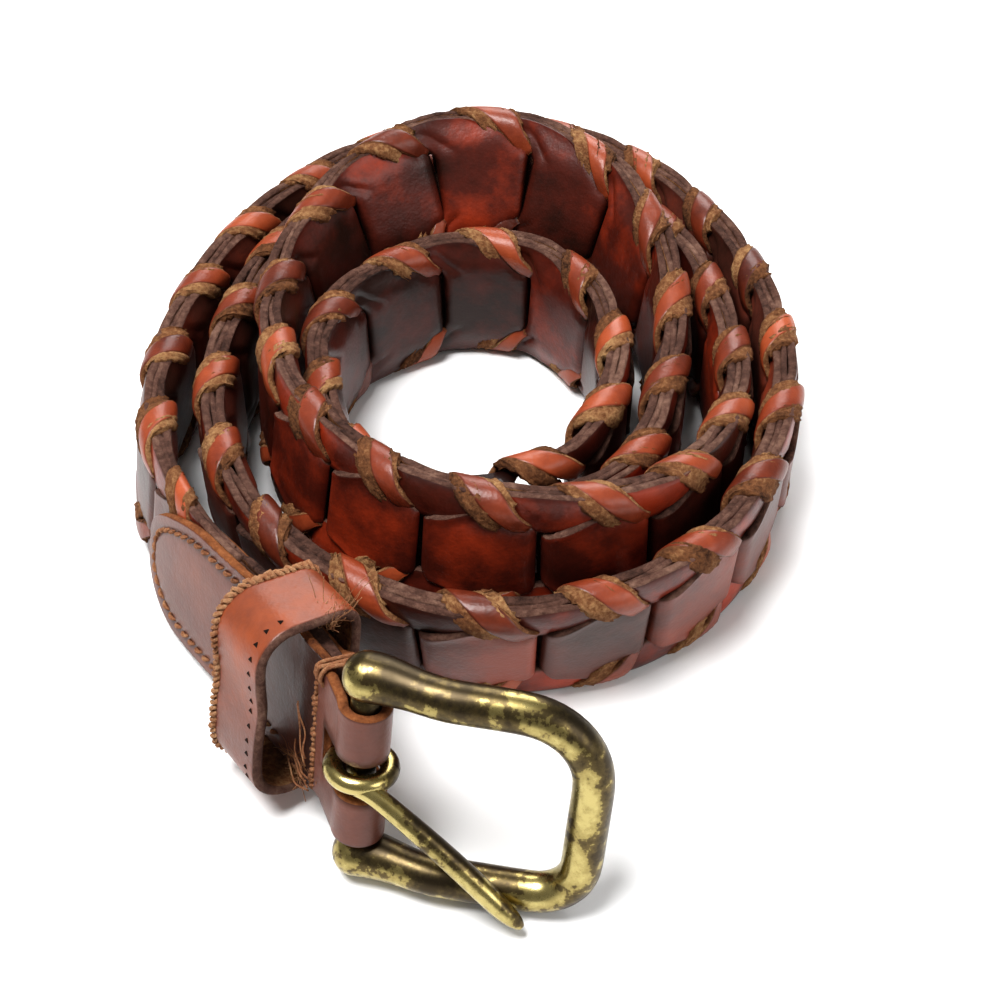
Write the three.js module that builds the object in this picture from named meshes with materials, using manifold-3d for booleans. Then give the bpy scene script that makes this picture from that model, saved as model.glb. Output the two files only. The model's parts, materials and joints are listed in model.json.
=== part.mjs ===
// A braided leather belt, coiled and lying on its edge, with a brass frame buckle.
// Millimetres, +Z up, standing on z = 0 with the middle of its plan at the origin.
// The braid is a chain of folded leather links whose ends wrap over both edges.
import * as THREE from 'three';
import Module from 'manifold-3d';

// Driving dimensions of the belt
const beltWidth = 30;
const braidThickness = 7.6;
const linkPitch = 21;
const railHeight = 9;
const slitWidth = 2.1;
const strapRise = 0.8;
const plyThickness = 1.8;
const clearance = 0.3;
const scarfRoom = clearance * 4;

// The coil: radius of the innermost turn and the room that one turn takes
const coilRadius = 24;
const turnSpacing = 9;

// The sewn end of the belt and the keeper loop on it
const endWidth = 31;
const endOverlap = 9;
const fillerThickness = 3.6;
const keeperLength = 16;
const keeperWall = 2;
const keeperRoom = 7.2;
const keeperSlack = 1.2;
const keeperBackBend = 2.4;
const keeperFrontBend = 5.5;
const keeperFromBar = 24;

// The leather tip at the other end
const tipLength = 36;
const tipWidth = 24;
const tipThickness = 3.6;

// The buckle: its bar, its frame and its prong
const barX = -18;
const barY = -107.8;
const barHeight = 22.9;
const barHeading = -68;
const earlyRise = 0.8;
const lateRise = 0.5;
const barRadius = 2.5;
const frameHeight = 38;
const frameReach = 38.5;
const frameWire = 3.5;
const knuckleWire = 4.3;
const frameBow = 3;
const wideCorner = 13;
const tightCorner = 8;
const eyeRadius = 4.8;
const prongWire = 1.7;
const prongReach = 30;
const prongDrop = 21.6;
const wrapWidth = 28;
const slotHeight = 6.4;
const slotEndRoom = 1.2;
const braidEndRoom = 5;

// Rows of the coil, from the buckle inwards. at: degrees round the coil, clockwise
// seen from above, from the -X side. layers: turns of room outside the coil radius.
// lift: share of the belt width that the lower edge is raised. lean: degrees outward.
const coilRows = [
  { at: -48, layers: 5.7, lift: 0.045, lean: -11 },
  { at: -25, layers: 4.85, lift: 0.02, lean: -9 },
  { at: 0, layers: 4, lift: 0.006, lean: -3 },
  { at: 30, layers: 3.7, lift: 0, lean: 0 },
  { at: 60, layers: 4.05, lift: 0, lean: 0 },
  { at: 90, layers: 4.7, lift: 0, lean: 0 },
  { at: 120, layers: 4.4, lift: 0, lean: 0 },
  { at: 150, layers: 3.95, lift: 0, lean: 0 },
  { at: 180, layers: 4.1, lift: 0, lean: 0 },
  { at: 210, layers: 4.8, lift: 0, lean: 1 },
  { at: 240, layers: 5.8, lift: 0, lean: 5 },
  { at: 270, layers: 6.05, lift: 0.01, lean: 10 },
  { at: 300, layers: 5.1, lift: 0, lean: 6 },
  { at: 330, layers: 3.8, lift: 0, lean: 0 },
  { at: 360, layers: 2.85, lift: 0, lean: 0 },
  { at: 390, layers: 2.68, lift: 0, lean: 0 },
  { at: 420, layers: 2.93, lift: 0, lean: 0 },
  { at: 450, layers: 3.3, lift: 0, lean: 0 },
  { at: 480, layers: 3.15, lift: 0, lean: 0 },
  { at: 510, layers: 2.85, lift: 0, lean: 0 },
  { at: 540, layers: 2.95, lift: 0, lean: 0 },
  { at: 570, layers: 3.72, lift: 0.06, lean: 0 },
  { at: 600, layers: 4.4, lift: 0.26, lean: -3 },
  { at: 630, layers: 3.95, lift: 0.38, lean: -10 },
  { at: 660, layers: 2.85, lift: 0.33, lean: -12 },
  { at: 690, layers: 2.08, lift: 0.25, lean: -6 },
  { at: 720, layers: 1.87, lift: 0.2, lean: 4 },
  { at: 750, layers: 1.98, lift: 0.3, lean: 13 },
  { at: 780, layers: 2.5, lift: 0.48, lean: 24 },
  { at: 810, layers: 3.0, lift: 0.55, lean: 28 },
  { at: 840, layers: 2.7, lift: 0.48, lean: 24 },
  { at: 870, layers: 2.1, lift: 0.3, lean: 13 },
  { at: 900, layers: 1.85, lift: 0.08, lean: 3 },
  { at: 930, layers: 2.1, lift: 0, lean: 0 },
  { at: 960, layers: 3.2, lift: 0, lean: 0 },
  { at: 990, layers: 3.3, lift: 0, lean: 0 },
  { at: 1020, layers: 2.25, lift: 0, lean: 0 },
  { at: 1050, layers: 1.25, lift: 0, lean: 0 },
  { at: 1080, layers: 0.72, lift: 0, lean: 0 },
  { at: 1110, layers: 0.22, lift: 0, lean: 3 },
  { at: 1140, layers: 0.05, lift: 0, lean: 6 },
  { at: 1170, layers: 0.08, lift: 0, lean: 6 },
  { at: 1200, layers: 0.14, lift: 0, lean: 6 },
  { at: 1230, layers: 0.18, lift: 0, lean: 4 },
  { at: 1260, layers: 0.35, lift: 0, lean: 2 },
  { at: 1290, layers: 0.9, lift: 0, lean: 0 },
  { at: 1310, layers: 1.5, lift: 0, lean: 0 },
  { at: 1330, layers: 2.15, lift: 0, lean: 0 },
  { at: 1350, layers: 2.35, lift: 0, lean: 0 },
  { at: 1380, layers: 1.4, lift: 0, lean: 0 },
  { at: 1400, layers: 0.7, lift: 0, lean: 0 },
];
const tailAngle = 1340;
const headAngle = coilRows[0].at;
const splitAngle = 452;

// One pitch of the braid, as columns. ridge: place of the column where it crosses the
// edge, outer and inner: its place on the two faces, all in pitches. rise: how far the
// leather stands at the edge, shoulder: on the bend below it, proud: on the faces, all in
// strap rises. squareFade: pitches over which the slant fades out at a square end.
const slit = slitWidth / linkPitch;
const squareFade = 2;
const braidColumns = [
  { ridge: -0.68, outer: -0.02, inner: -1.02, rise: 1, shoulder: 1, proud: 0.6 },
  { ridge: -0.31, outer: slit - 0.02, inner: slit - 1.02, rise: 1, shoulder: 1, proud: 0.3 },
  { ridge: -0.12, outer: 0.3, inner: -0.7, rise: 0, shoulder: 0, proud: 0.7 },
  { ridge: 0.02, outer: 0.53, inner: -0.47, rise: -0.8, shoulder: 0.2, proud: 0.9 },
  { ridge: 0.17, outer: 0.76, inner: -0.24, rise: 0, shoulder: 0, proud: 0.7 },
];

const leatherLook = { color: 0x6b2a1c, roughness: 0.45, metalness: 0 };
const endLook = { color: 0x7a3a28, roughness: 0.5, metalness: 0 };
const keeperLook = { color: 0x96452a, roughness: 0.45, metalness: 0 };
const brassLook = { color: 0x9c8440, roughness: 0.35, metalness: 1 };

// Smooth curve through the rows, with slopes taken across the neighbours
function throughRows(key, at) {
  let i = 0;
  while (i < coilRows.length - 2 && coilRows[i + 1].at < at) {
    i += 1;
  }
  const slope = (k) => {
    const low = coilRows[Math.max(k - 1, 0)];
    const high = coilRows[Math.min(k + 1, coilRows.length - 1)];
    return (high[key] - low[key]) / (high.at - low.at);
  };
  const span = coilRows[i + 1].at - coilRows[i].at;
  const t = (at - coilRows[i].at) / span;
  const ease = t * t * (3 - 2 * t);
  const leave = t * (1 - t) * (1 - t);
  const arrive = t * t * (t - 1);
  return coilRows[i][key] * (1 - ease) + coilRows[i + 1][key] * ease
    + (slope(i) * leave + slope(i + 1) * arrive) * span;
}

// Centre of the belt's upper edge at an angle round the coil
function coilTop(at) {
  const radius = coilRadius + turnSpacing * throughRows('layers', at);
  const lean = THREE.MathUtils.degToRad(throughRows('lean', at));
  const angle = THREE.MathUtils.degToRad(180 - at);
  const z = beltWidth * (throughRows('lift', at) + Math.cos(lean));
  return new THREE.Vector3(radius * Math.cos(angle), radius * Math.sin(angle), z);
}

// The belt's middle and its direction across the width, at an angle round the coil
function coilStation(at) {
  const top = coilTop(at);
  const along = coilTop(at - 1).sub(coilTop(at + 1)).setZ(0).normalize();
  const outward = new THREE.Vector3(along.y, -along.x, 0);
  const lean = THREE.MathUtils.degToRad(throughRows('lean', at));
  const across = outward.multiplyScalar(Math.sin(lean)).setZ(Math.cos(lean));
  return { middle: top.addScaledVector(across, -beltWidth / 2), across, along };
}

// The frame of the buckle: its bar points up along frameUp and leans back over the coil
const barCentre = new THREE.Vector3(barX, barY, barHeight);
const frameAlong = new THREE.Vector3(0.987, -0.148, -0.055).normalize();
const frameUp = new THREE.Vector3(0.102, 0.246, 0.964);
frameUp.addScaledVector(frameAlong, -frameUp.dot(frameAlong)).normalize();
const frameOut = new THREE.Vector3().crossVectors(frameAlong, frameUp);

// The whole belt as stations from its tip to the bar, a degree or a few millimetres apart
function beltStations() {
  const stations = [];
  for (let at = coilRows[coilRows.length - 1].at; at >= headAngle; at -= 1) {
    stations.push({ ...coilStation(at), at });
  }
  const start = stations[stations.length - 1];
  const reach = start.middle.distanceTo(barCentre);
  const heading = THREE.MathUtils.degToRad(barHeading);
  const rise = barCentre.z - start.middle.z;
  const leave = start.along.clone().multiplyScalar(reach).setZ(rise * earlyRise);
  const arrive = new THREE.Vector3(Math.cos(heading), Math.sin(heading), 0).multiplyScalar(reach);
  arrive.z = rise * lateRise;
  const steps = Math.ceil(reach / 2);
  for (let i = 1; i <= steps; i += 1) {
    const t = i / steps;
    const ease = t * t * (3 - 2 * t);
    const middle = start.middle.clone().multiplyScalar(1 - ease);
    middle.addScaledVector(barCentre, ease);
    middle.addScaledVector(leave, t * (1 - t) * (1 - t));
    middle.addScaledVector(arrive, t * t * (t - 1));
    const across = start.across.clone().lerp(frameUp, ease).normalize();
    stations.push({ middle, across, at: headAngle });
  }
  let run = 0;
  stations.forEach((station, i) => {
    const before = stations[Math.max(i - 1, 0)].middle;
    const after = stations[Math.min(i + 1, stations.length - 1)].middle;
    run += station.middle.distanceTo(before);
    station.run = run;
    station.forward = after.clone().sub(before).normalize();
  });
  return stations;
}

const stations = beltStations();
const barRun = stations[stations.length - 1].run;

// Length along the belt, from its far end, at an angle round the coil
function runAt(at) {
  return stations.find((station) => station.at <= at).run;
}

// A point of the belt: run along it, height from its lower edge, depth outward from its middle
function beltPoint(run, height, depth) {
  let low = 0;
  let high = stations.length - 1;
  while (high - low > 1) {
    const centre = (low + high) >> 1;
    if (stations[centre].run <= run) {
      low = centre;
    } else {
      high = centre;
    }
  }
  const a = stations[low];
  const b = stations[high];
  const t = (run - a.run) / (b.run - a.run);
  const across = a.across.clone().lerp(b.across, t).normalize();
  const forward = a.forward.clone().lerp(b.forward, t).normalize();
  const outward = new THREE.Vector3().crossVectors(forward, across).normalize();
  const point = a.middle.clone().lerp(b.middle, t);
  point.addScaledVector(across, height - beltWidth / 2);
  return point.addScaledVector(outward, depth);
}

// A closed solid between two grids of points, front[column][row] and back[column][row].
// A cell where open(column, row) is true is cut through, and its far side lies shift
// columns further on in the back grid.
function platedSolid(front, back, open = () => false, shift = 0) {
  const columns = front.length;
  const rows = front[0].length;
  const points = [...front.flat(), ...back.flat()];
  const near = (column, row) => column * rows + row;
  const far = (column, row) => (columns + column) * rows + row;
  const index = [];
  const quad = (a, b, c, d) => index.push(a, b, c, a, c, d);
  for (let c = 0; c < columns - 1; c += 1) {
    for (let r = 0; r < rows - 1; r += 1) {
      if (!open(c, r)) {
        quad(near(c, r), near(c + 1, r), near(c + 1, r + 1), near(c, r + 1));
      }
      if (!open(c - shift, r)) {
        quad(far(c, r), far(c, r + 1), far(c + 1, r + 1), far(c + 1, r));
      }
      if (open(c, r)) {
        const d = c + shift;
        if (!open(c, r - 1)) {
          quad(near(c, r), near(c + 1, r), far(d + 1, r), far(d, r));
        }
        if (!open(c, r + 1)) {
          quad(near(c + 1, r + 1), near(c, r + 1), far(d, r + 1), far(d + 1, r + 1));
        }
        if (!open(c - 1, r)) {
          quad(near(c, r + 1), near(c, r), far(d, r), far(d, r + 1));
        }
        if (!open(c + 1, r)) {
          quad(near(c + 1, r), near(c + 1, r + 1), far(d + 1, r + 1), far(d + 1, r));
        }
      }
    }
    quad(near(c, rows - 1), near(c + 1, rows - 1), far(c + 1, rows - 1), far(c, rows - 1));
    quad(near(c + 1, 0), near(c, 0), far(c, 0), far(c + 1, 0));
  }
  for (let r = 0; r < rows - 1; r += 1) {
    const last = columns - 1;
    quad(near(0, r), near(0, r + 1), far(0, r + 1), far(0, r));
    quad(near(last, r), far(last, r), far(last, r + 1), near(last, r + 1));
  }
  return meshGeometry(points, index);
}

function meshGeometry(points, index) {
  const geometry = new THREE.BufferGeometry();
  const numbers = points.flatMap((point) => [point.x, point.y, point.z]);
  geometry.setAttribute('position', new THREE.Float32BufferAttribute(numbers, 3));
  geometry.setIndex(index);
  geometry.computeVertexNormals();
  return geometry;
}

function namedMesh(name, geometry, look) {
  const mesh = new THREE.Mesh(geometry, new THREE.MeshStandardMaterial(look));
  mesh.name = name;
  return mesh;
}

// The plies of the sewn end: their place beside the braid and round the bar
const stackHalf = fillerThickness / 2 + clearance + plyThickness / 2;
const wrapRadius = barRadius + clearance + plyThickness / 2;

// How much of the braid's thickness is left at a run: it is pressed flat in the sewn end
const sewnStart = runAt(headAngle) - endOverlap;
function pressed(run) {
  const t = THREE.MathUtils.clamp((run - sewnStart + linkPitch) / linkPitch, 0, 1);
  const ease = t * t * (3 - 2 * t);
  return 1 - ease * (1 - fillerThickness / braidThickness);
}

// Whole pitches of braid from the leather tip to the buckle
const tailRun = runAt(tailAngle);
const headRun = barRun - wrapRadius - braidEndRoom;
const pitchCount = Math.floor((headRun - tailRun) / linkPitch);
const pitchRun = (headRun - tailRun) / pitchCount;
const splitPitch = Math.round((runAt(splitAngle) - tailRun) / pitchRun);

// The braid between two pitches. The wrapped ends slant over the edges by a whole pitch
// from face to face. At a square end the slant fades out and the slits are left closed,
// and at a slanted end the braid stops short of the next stretch.
function braid(firstPitch, lastPitch, squareStart, squareEnd) {
  const perPitch = braidColumns.length;
  const columnCount = (lastPitch - firstPitch) * perPitch + 1;
  const firstRidge = braidColumns[0].ridge;
  const half = braidThickness / 2;
  const edgeDepth = half * 0.62;
  const shoulderHeight = railHeight * 0.42;
  const edgeTurn = 0.22;
  const shoulderTurn = 0.55;
  const front = [];
  const back = [];
  const full = [];
  for (let c = 0; c < columnCount; c += 1) {
    const column = braidColumns[c % perPitch];
    const ridge = firstPitch + Math.floor(c / perPitch) + column.ridge - firstRidge;
    const fromStart = squareStart ? (ridge - firstPitch) / squareFade : 1;
    const fromEnd = squareEnd ? (lastPitch - ridge) / squareFade : 1;
    const slant = THREE.MathUtils.clamp(Math.min(fromStart, fromEnd), 0, 1);
    let short = 0;
    if (c === 0 && !squareStart) {
      short = scarfRoom;
    }
    if (c === columnCount - 1 && !squareEnd) {
      short = -scarfRoom;
    }
    full.push(slant === 1);
    const edgeDrop = strapRise * (1 - column.rise);
    const shoulderDepth = half - strapRise * (1 - column.shoulder);
    const faceDepth = half - strapRise * (1 - column.proud);
    const face = (key, sign) => {
      const place = (turn, height, depth) => {
        const across = (column[key] - column.ridge) * slant * turn;
        const run = tailRun + (ridge + across) * pitchRun + short;
        return beltPoint(run, height, depth * pressed(run) * sign);
      };
      return [
        place(edgeTurn, edgeDrop, edgeDepth),
        place(shoulderTurn, shoulderHeight, shoulderDepth),
        place(1, railHeight, faceDepth),
        place(1, beltWidth - railHeight, faceDepth),
        place(shoulderTurn, beltWidth - shoulderHeight, shoulderDepth),
        place(edgeTurn, beltWidth - edgeDrop, edgeDepth),
      ];
    };
    front.push(face('outer', 1));
    back.push(face('inner', -1));
  }
  const panelRow = 2;
  const open = (c, r) => c >= 0 && c % perPitch === 0 && r === panelRow
    && c + perPitch + 1 < columnCount && full[c] && full[c + perPitch + 1];
  return platedSolid(front, back, open, perPitch);
}

// A strip of leather that follows a path of run and depth, of a given width at each point.
// slotted tells where it is cut through for the prong.
function strip(path, thickness, slotted = () => false) {
  const rows = [-1, -slotHeight / wrapWidth, slotHeight / wrapWidth, 1];
  const front = [];
  const back = [];
  path.forEach((spot, i) => {
    const before = path[Math.max(i - 1, 0)];
    const after = path[Math.min(i + 1, path.length - 1)];
    const normal = new THREE.Vector2(before.depth - after.depth, after.run - before.run).normalize();
    const column = (offset) => rows.map((row) => beltPoint(
      spot.run + normal.x * offset,
      (spot.centre ?? beltWidth / 2) + row * spot.width / 2,
      spot.depth + normal.y * offset,
    ));
    front.push(column(thickness / 2));
    back.push(column(-thickness / 2));
  });
  return platedSolid(front, back, (c, r) => r === 1 && slotted(path[c]) && slotted(path[c + 1]));
}

// The sewn end: a front ply with a round tongue, folded round the bar and back along the belt
function endWidthAt(run) {
  const t = THREE.MathUtils.clamp((barRun - run) / keeperFromBar, 0, 1);
  return THREE.MathUtils.lerp(wrapWidth, endWidth, t * t * (3 - 2 * t));
}
function sewnEnd() {
  const path = [];
  const tongue = 5;
  const slotRun = barRun - eyeRadius - prongWire - slotEndRoom;
  for (let i = 0; i <= tongue; i += 1) {
    const angle = (i / tongue) * (Math.PI / 2);
    const run = sewnStart + endWidth * 0.32 * (1 - Math.cos(angle));
    path.push({ run, depth: stackHalf, width: endWidth * (0.45 + 0.55 * Math.sin(angle)) });
  }
  const straight = 9;
  const tongueEnd = path[path.length - 1].run;
  for (let i = 1; i <= straight; i += 1) {
    const run = THREE.MathUtils.lerp(tongueEnd, slotRun, i / straight);
    path.push({ run, depth: stackHalf, width: endWidthAt(run), slotted: i === straight });
  }
  const bend = 10;
  for (let i = 0; i <= bend; i += 1) {
    const angle = THREE.MathUtils.lerp(Math.PI * 0.62, 0, i / bend);
    path.push({
      run: barRun + wrapRadius * Math.cos(angle),
      depth: wrapRadius * Math.sin(angle),
      width: wrapWidth,
      slotted: true,
    });
  }
  const mirrored = path.slice(0, -1).reverse();
  mirrored.forEach((spot) => path.push({ ...spot, depth: -spot.depth }));
  return strip(path, plyThickness, (spot) => Boolean(spot.slotted));
}

// The keeper: a ring of leather round the sewn end, with room in front for the belt's tip.
// near: radius of the two corners at the left, far: of the two at the right
function roundedRectangle(shape, left, bottom, right, top, near, far) {
  shape.moveTo(left + near, bottom);
  shape.lineTo(right - far, bottom);
  shape.absarc(right - far, bottom + far, far, -Math.PI / 2, 0, false);
  shape.absarc(right - far, top - far, far, 0, Math.PI / 2, false);
  shape.absarc(left + near, top - near, near, Math.PI / 2, Math.PI, false);
  shape.absarc(left + near, bottom + near, near, Math.PI, Math.PI * 1.5, false);
  return shape;
}
function keeper() {
  const backFace = -(stackHalf + plyThickness / 2 + keeperSlack);
  const frontFace = stackHalf + plyThickness / 2 + clearance + keeperRoom;
  const halfHeight = endWidth / 2 + keeperSlack;
  const outline = roundedRectangle(
    new THREE.Shape(),
    backFace - keeperWall,
    -halfHeight - keeperWall,
    frontFace + keeperWall,
    halfHeight + keeperWall,
    keeperBackBend + keeperWall,
    keeperFrontBend + keeperWall,
  );
  outline.holes.push(roundedRectangle(
    new THREE.Path(),
    backFace,
    -halfHeight,
    frontFace,
    halfHeight,
    keeperBackBend,
    keeperFrontBend,
  ));
  const geometry = new THREE.ExtrudeGeometry(outline, {
    depth: keeperLength,
    bevelEnabled: false,
    curveSegments: 4,
    steps: 2,
  });
  const run = barRun - keeperFromBar;
  const centre = beltPoint(run, beltWidth / 2, 0);
  const ahead = beltPoint(run + keeperLength / 2, beltWidth / 2, 0);
  const forward = ahead.sub(beltPoint(run - keeperLength / 2, beltWidth / 2, 0)).normalize();
  const upward = beltPoint(run, beltWidth / 2 + 1, 0).sub(centre);
  upward.addScaledVector(forward, -upward.dot(forward)).normalize();
  const outward = new THREE.Vector3().crossVectors(forward, upward);
  const backward = forward.clone().negate();
  const mesh = namedMesh('keeper_loop', geometry, keeperLook);
  mesh.matrixAutoUpdate = false;
  mesh.matrix.makeBasis(outward, upward, backward);
  mesh.matrix.setPosition(centre.addScaledVector(forward, keeperLength / 2));
  return mesh;
}

// The plain leather tip that the braid ends in, with a round end
function tip() {
  const path = [];
  const startRun = tailRun - clearance;
  const straight = 7;
  const roundPart = tipWidth * 0.5;
  for (let i = 0; i <= straight; i += 1) {
    const run = startRun - ((tipLength - roundPart) * i) / straight;
    path.push({ run, depth: 0, width: tipWidth });
  }
  const rounding = 5;
  const tongueEnd = path[path.length - 1].run;
  for (let i = 1; i <= rounding; i += 1) {
    const angle = (i / rounding) * (Math.PI / 2) * 0.96;
    const run = tongueEnd - roundPart * Math.sin(angle);
    path.push({ run, depth: 0, width: tipWidth * Math.cos(angle) });
  }
  return strip(path.reverse(), tipThickness);
}

// A round bar swept along points, closed by round ends. radii: one for each point
function sweptBar(points, radii, sides) {
  const rings = [];
  let normal = new THREE.Vector3();
  points.forEach((point, i) => {
    const before = points[Math.max(i - 1, 0)];
    const after = points[Math.min(i + 1, points.length - 1)];
    const forward = after.clone().sub(before).normalize();
    if (i === 0) {
      normal = new THREE.Vector3(0, 0, 1).cross(forward).cross(forward);
    }
    normal.addScaledVector(forward, -normal.dot(forward)).normalize();
    const side = new THREE.Vector3().crossVectors(forward, normal);
    const ring = [];
    for (let k = 0; k < sides; k += 1) {
      const angle = (k / sides) * Math.PI * 2;
      ring.push(point.clone()
        .addScaledVector(normal, Math.cos(angle) * radii[i])
        .addScaledVector(side, Math.sin(angle) * radii[i]));
    }
    rings.push(ring);
  });
  const all = rings.flat();
  const index = [];
  for (let i = 0; i < rings.length - 1; i += 1) {
    for (let k = 0; k < sides; k += 1) {
      const next = (k + 1) % sides;
      const a = i * sides;
      const b = a + sides;
      index.push(a + k, b + next, b + k, a + k, a + next, b + next);
    }
  }
  const last = (rings.length - 1) * sides;
  for (let k = 1; k < sides - 1; k += 1) {
    index.push(0, k + 1, k, last, last + k, last + k + 1);
  }
  return meshGeometry(all, index);
}

// A ring of round wire about the bar
function wireRing(radius, wire, sides, steps) {
  const points = [];
  const index = [];
  for (let i = 0; i < steps; i += 1) {
    const turn = (i / steps) * Math.PI * 2;
    for (let k = 0; k < sides; k += 1) {
      const angle = (k / sides) * Math.PI * 2;
      const reach = radius + wire * Math.cos(angle);
      points.push(inFrame(reach * Math.cos(turn), wire * Math.sin(angle), reach * Math.sin(turn)));
    }
  }
  for (let i = 0; i < steps; i += 1) {
    for (let k = 0; k < sides; k += 1) {
      const a = i * sides;
      const b = ((i + 1) % steps) * sides;
      const next = (k + 1) % sides;
      index.push(a + k, b + next, b + k, a + k, a + next, b + next);
    }
  }
  return meshGeometry(points, index);
}

// A point of the buckle: along its arms from the bar, up the bar, out from the frame
function inFrame(along, up, out) {
  return barCentre.clone()
    .addScaledVector(frameAlong, along)
    .addScaledVector(frameUp, up)
    .addScaledVector(frameOut, out);
}

// One solid from overlapping closed meshes
const wasm = await Module();
wasm.setup();
function joined(geometries) {
  let whole = null;
  geometries.forEach((geometry) => {
    const solid = new wasm.Manifold(new wasm.Mesh({
      numProp: 3,
      vertProperties: new Float32Array(geometry.getAttribute('position').array),
      triVerts: new Uint32Array(geometry.getIndex().array),
    }));
    whole = whole ? whole.add(solid) : solid;
  });
  const mesh = whole.getMesh();
  const points = [];
  for (let i = 0; i < mesh.vertProperties.length; i += mesh.numProp) {
    points.push(new THREE.Vector3(...mesh.vertProperties.slice(i, i + 3)));
  }
  return meshGeometry(points, Array.from(mesh.triVerts));
}

// The frame: two arms and an outer bar of one wire, swelling to a knuckle at each end
function buckleFrame() {
  const half = frameHeight / 2;
  const outline = [];
  const armSteps = 9;
  const cornerSteps = 5;
  for (let i = 0; i <= armSteps; i += 1) {
    outline.push([((frameReach - wideCorner) * i) / armSteps, half]);
  }
  for (let i = 1; i <= cornerSteps; i += 1) {
    const angle = Math.PI / 2 - ((Math.PI / 2) * i) / cornerSteps;
    outline.push([
      frameReach - wideCorner + wideCorner * Math.cos(angle),
      half - wideCorner + wideCorner * Math.sin(angle),
    ]);
  }
  outline.push([frameReach, 0]);
  for (let i = 0; i <= cornerSteps; i += 1) {
    const angle = -((Math.PI / 2) * i) / cornerSteps;
    outline.push([
      frameReach - tightCorner + tightCorner * Math.cos(angle),
      -half + tightCorner + tightCorner * Math.sin(angle),
    ]);
  }
  for (let i = 1; i <= armSteps; i += 1) {
    outline.push([((frameReach - tightCorner) * (armSteps - i)) / armSteps, -half]);
  }
  const bow = (along) => {
    const t = THREE.MathUtils.clamp(along / (frameReach * 0.4), 0, 1);
    return frameBow * t * t * (3 - 2 * t);
  };
  const wire = (along) => {
    const t = THREE.MathUtils.clamp(along / (frameReach * 0.25), 0, 1);
    return THREE.MathUtils.lerp(knuckleWire, frameWire, t * t * (3 - 2 * t));
  };
  const points = outline.map(([along, up]) => inFrame(along, up, bow(along)));
  const radii = outline.map(([along]) => wire(along));
  const roundEnd = [
    { along: -0.6, wire: 0.8 },
    { along: -0.9, wire: 0.42 },
  ];
  roundEnd.forEach((step) => {
    points.unshift(inFrame(knuckleWire * step.along, half, 0));
    points.push(inFrame(knuckleWire * step.along, -half, 0));
    radii.unshift(knuckleWire * step.wire);
    radii.push(knuckleWire * step.wire);
  });
  const barPoints = [inFrame(0, -half, 0), inFrame(0, half, 0)];
  return joined([
    sweptBar(points, radii, 12),
    sweptBar(barPoints, [barRadius, barRadius], 12),
  ]);
}

// The prong: an eye round the bar and a curved shank that lies skew across the lower arm
function prong() {
  // Shares of the prong's reach, drop, rise over the arm and wire, from the eye to the point
  const shank = [
    { along: -0.04, drop: 0, out: 0.5, wire: 1 },
    { along: 0.08, drop: 0.04, out: 0.54, wire: 1.02 },
    { along: 0.2, drop: 0.14, out: 0.62, wire: 1.05 },
    { along: 0.36, drop: 0.28, out: 0.74, wire: 1.1 },
    { along: 0.54, drop: 0.46, out: 0.84, wire: 1.15 },
    { along: 0.72, drop: 0.66, out: 0.92, wire: 1.18 },
    { along: 0.88, drop: 0.86, out: 0.98, wire: 1.1 },
    { along: 0.97, drop: 0.96, out: 1, wire: 0.8 },
    { along: 1, drop: 1, out: 1, wire: 0.4 },
  ];
  const restOut = frameBow + frameWire + prongWire * 1.2 + clearance;
  const points = shank.map((row) => inFrame(
    row.along * prongReach,
    -row.drop * prongDrop,
    row.out * restOut,
  ));
  const radii = shank.map((row) => row.wire * prongWire);
  return joined([
    wireRing(eyeRadius, prongWire, 8, 20),
    sweptBar(points, radii, 10),
  ]);
}

const belt = new THREE.Group();
belt.add(namedMesh('braid_outer_turns', braid(splitPitch, pitchCount, false, true), leatherLook));
belt.add(namedMesh('braid_inner_turns', braid(0, splitPitch, true, false), leatherLook));
belt.add(namedMesh('belt_tip', tip(), endLook));
belt.add(namedMesh('sewn_end', sewnEnd(), endLook));
belt.add(keeper());
belt.add(namedMesh('buckle_frame', buckleFrame(), brassLook));
belt.add(namedMesh('buckle_prong', prong(), brassLook));

// The origin is under the middle of the whole belt, on the surface that it lies on
belt.updateMatrixWorld(true);
const bounds = new THREE.Box3().setFromObject(belt);
const middle = bounds.getCenter(new THREE.Vector3());
belt.position.set(-middle.x, -middle.y, -bounds.min.z);

export default belt;
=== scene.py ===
"""Looks for a braided leather link belt, coiled on its edge, with a brass frame buckle.

The belt's run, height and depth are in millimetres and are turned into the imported
model's metres by belt_points. A link is two folded panels, and over each edge of the
belt a wrapped strap, the strips between the straps and their rough torn sides.
"""

import json
import math

import bpy
import numpy as np
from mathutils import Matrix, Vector


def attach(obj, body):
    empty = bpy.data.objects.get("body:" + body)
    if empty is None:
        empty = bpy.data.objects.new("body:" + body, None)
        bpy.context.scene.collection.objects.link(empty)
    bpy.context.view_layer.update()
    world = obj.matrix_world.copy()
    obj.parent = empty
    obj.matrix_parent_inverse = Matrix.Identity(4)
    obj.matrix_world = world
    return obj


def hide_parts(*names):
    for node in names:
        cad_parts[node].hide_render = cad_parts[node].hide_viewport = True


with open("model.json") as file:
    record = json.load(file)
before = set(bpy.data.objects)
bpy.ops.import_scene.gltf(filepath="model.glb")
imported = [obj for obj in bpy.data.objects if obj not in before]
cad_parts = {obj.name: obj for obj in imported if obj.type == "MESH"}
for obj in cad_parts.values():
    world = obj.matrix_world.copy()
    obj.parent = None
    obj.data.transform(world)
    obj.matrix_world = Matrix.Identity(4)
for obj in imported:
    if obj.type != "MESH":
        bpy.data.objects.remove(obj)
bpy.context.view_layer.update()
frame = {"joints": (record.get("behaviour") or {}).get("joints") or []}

MM = 0.001
SEED = 7

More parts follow.
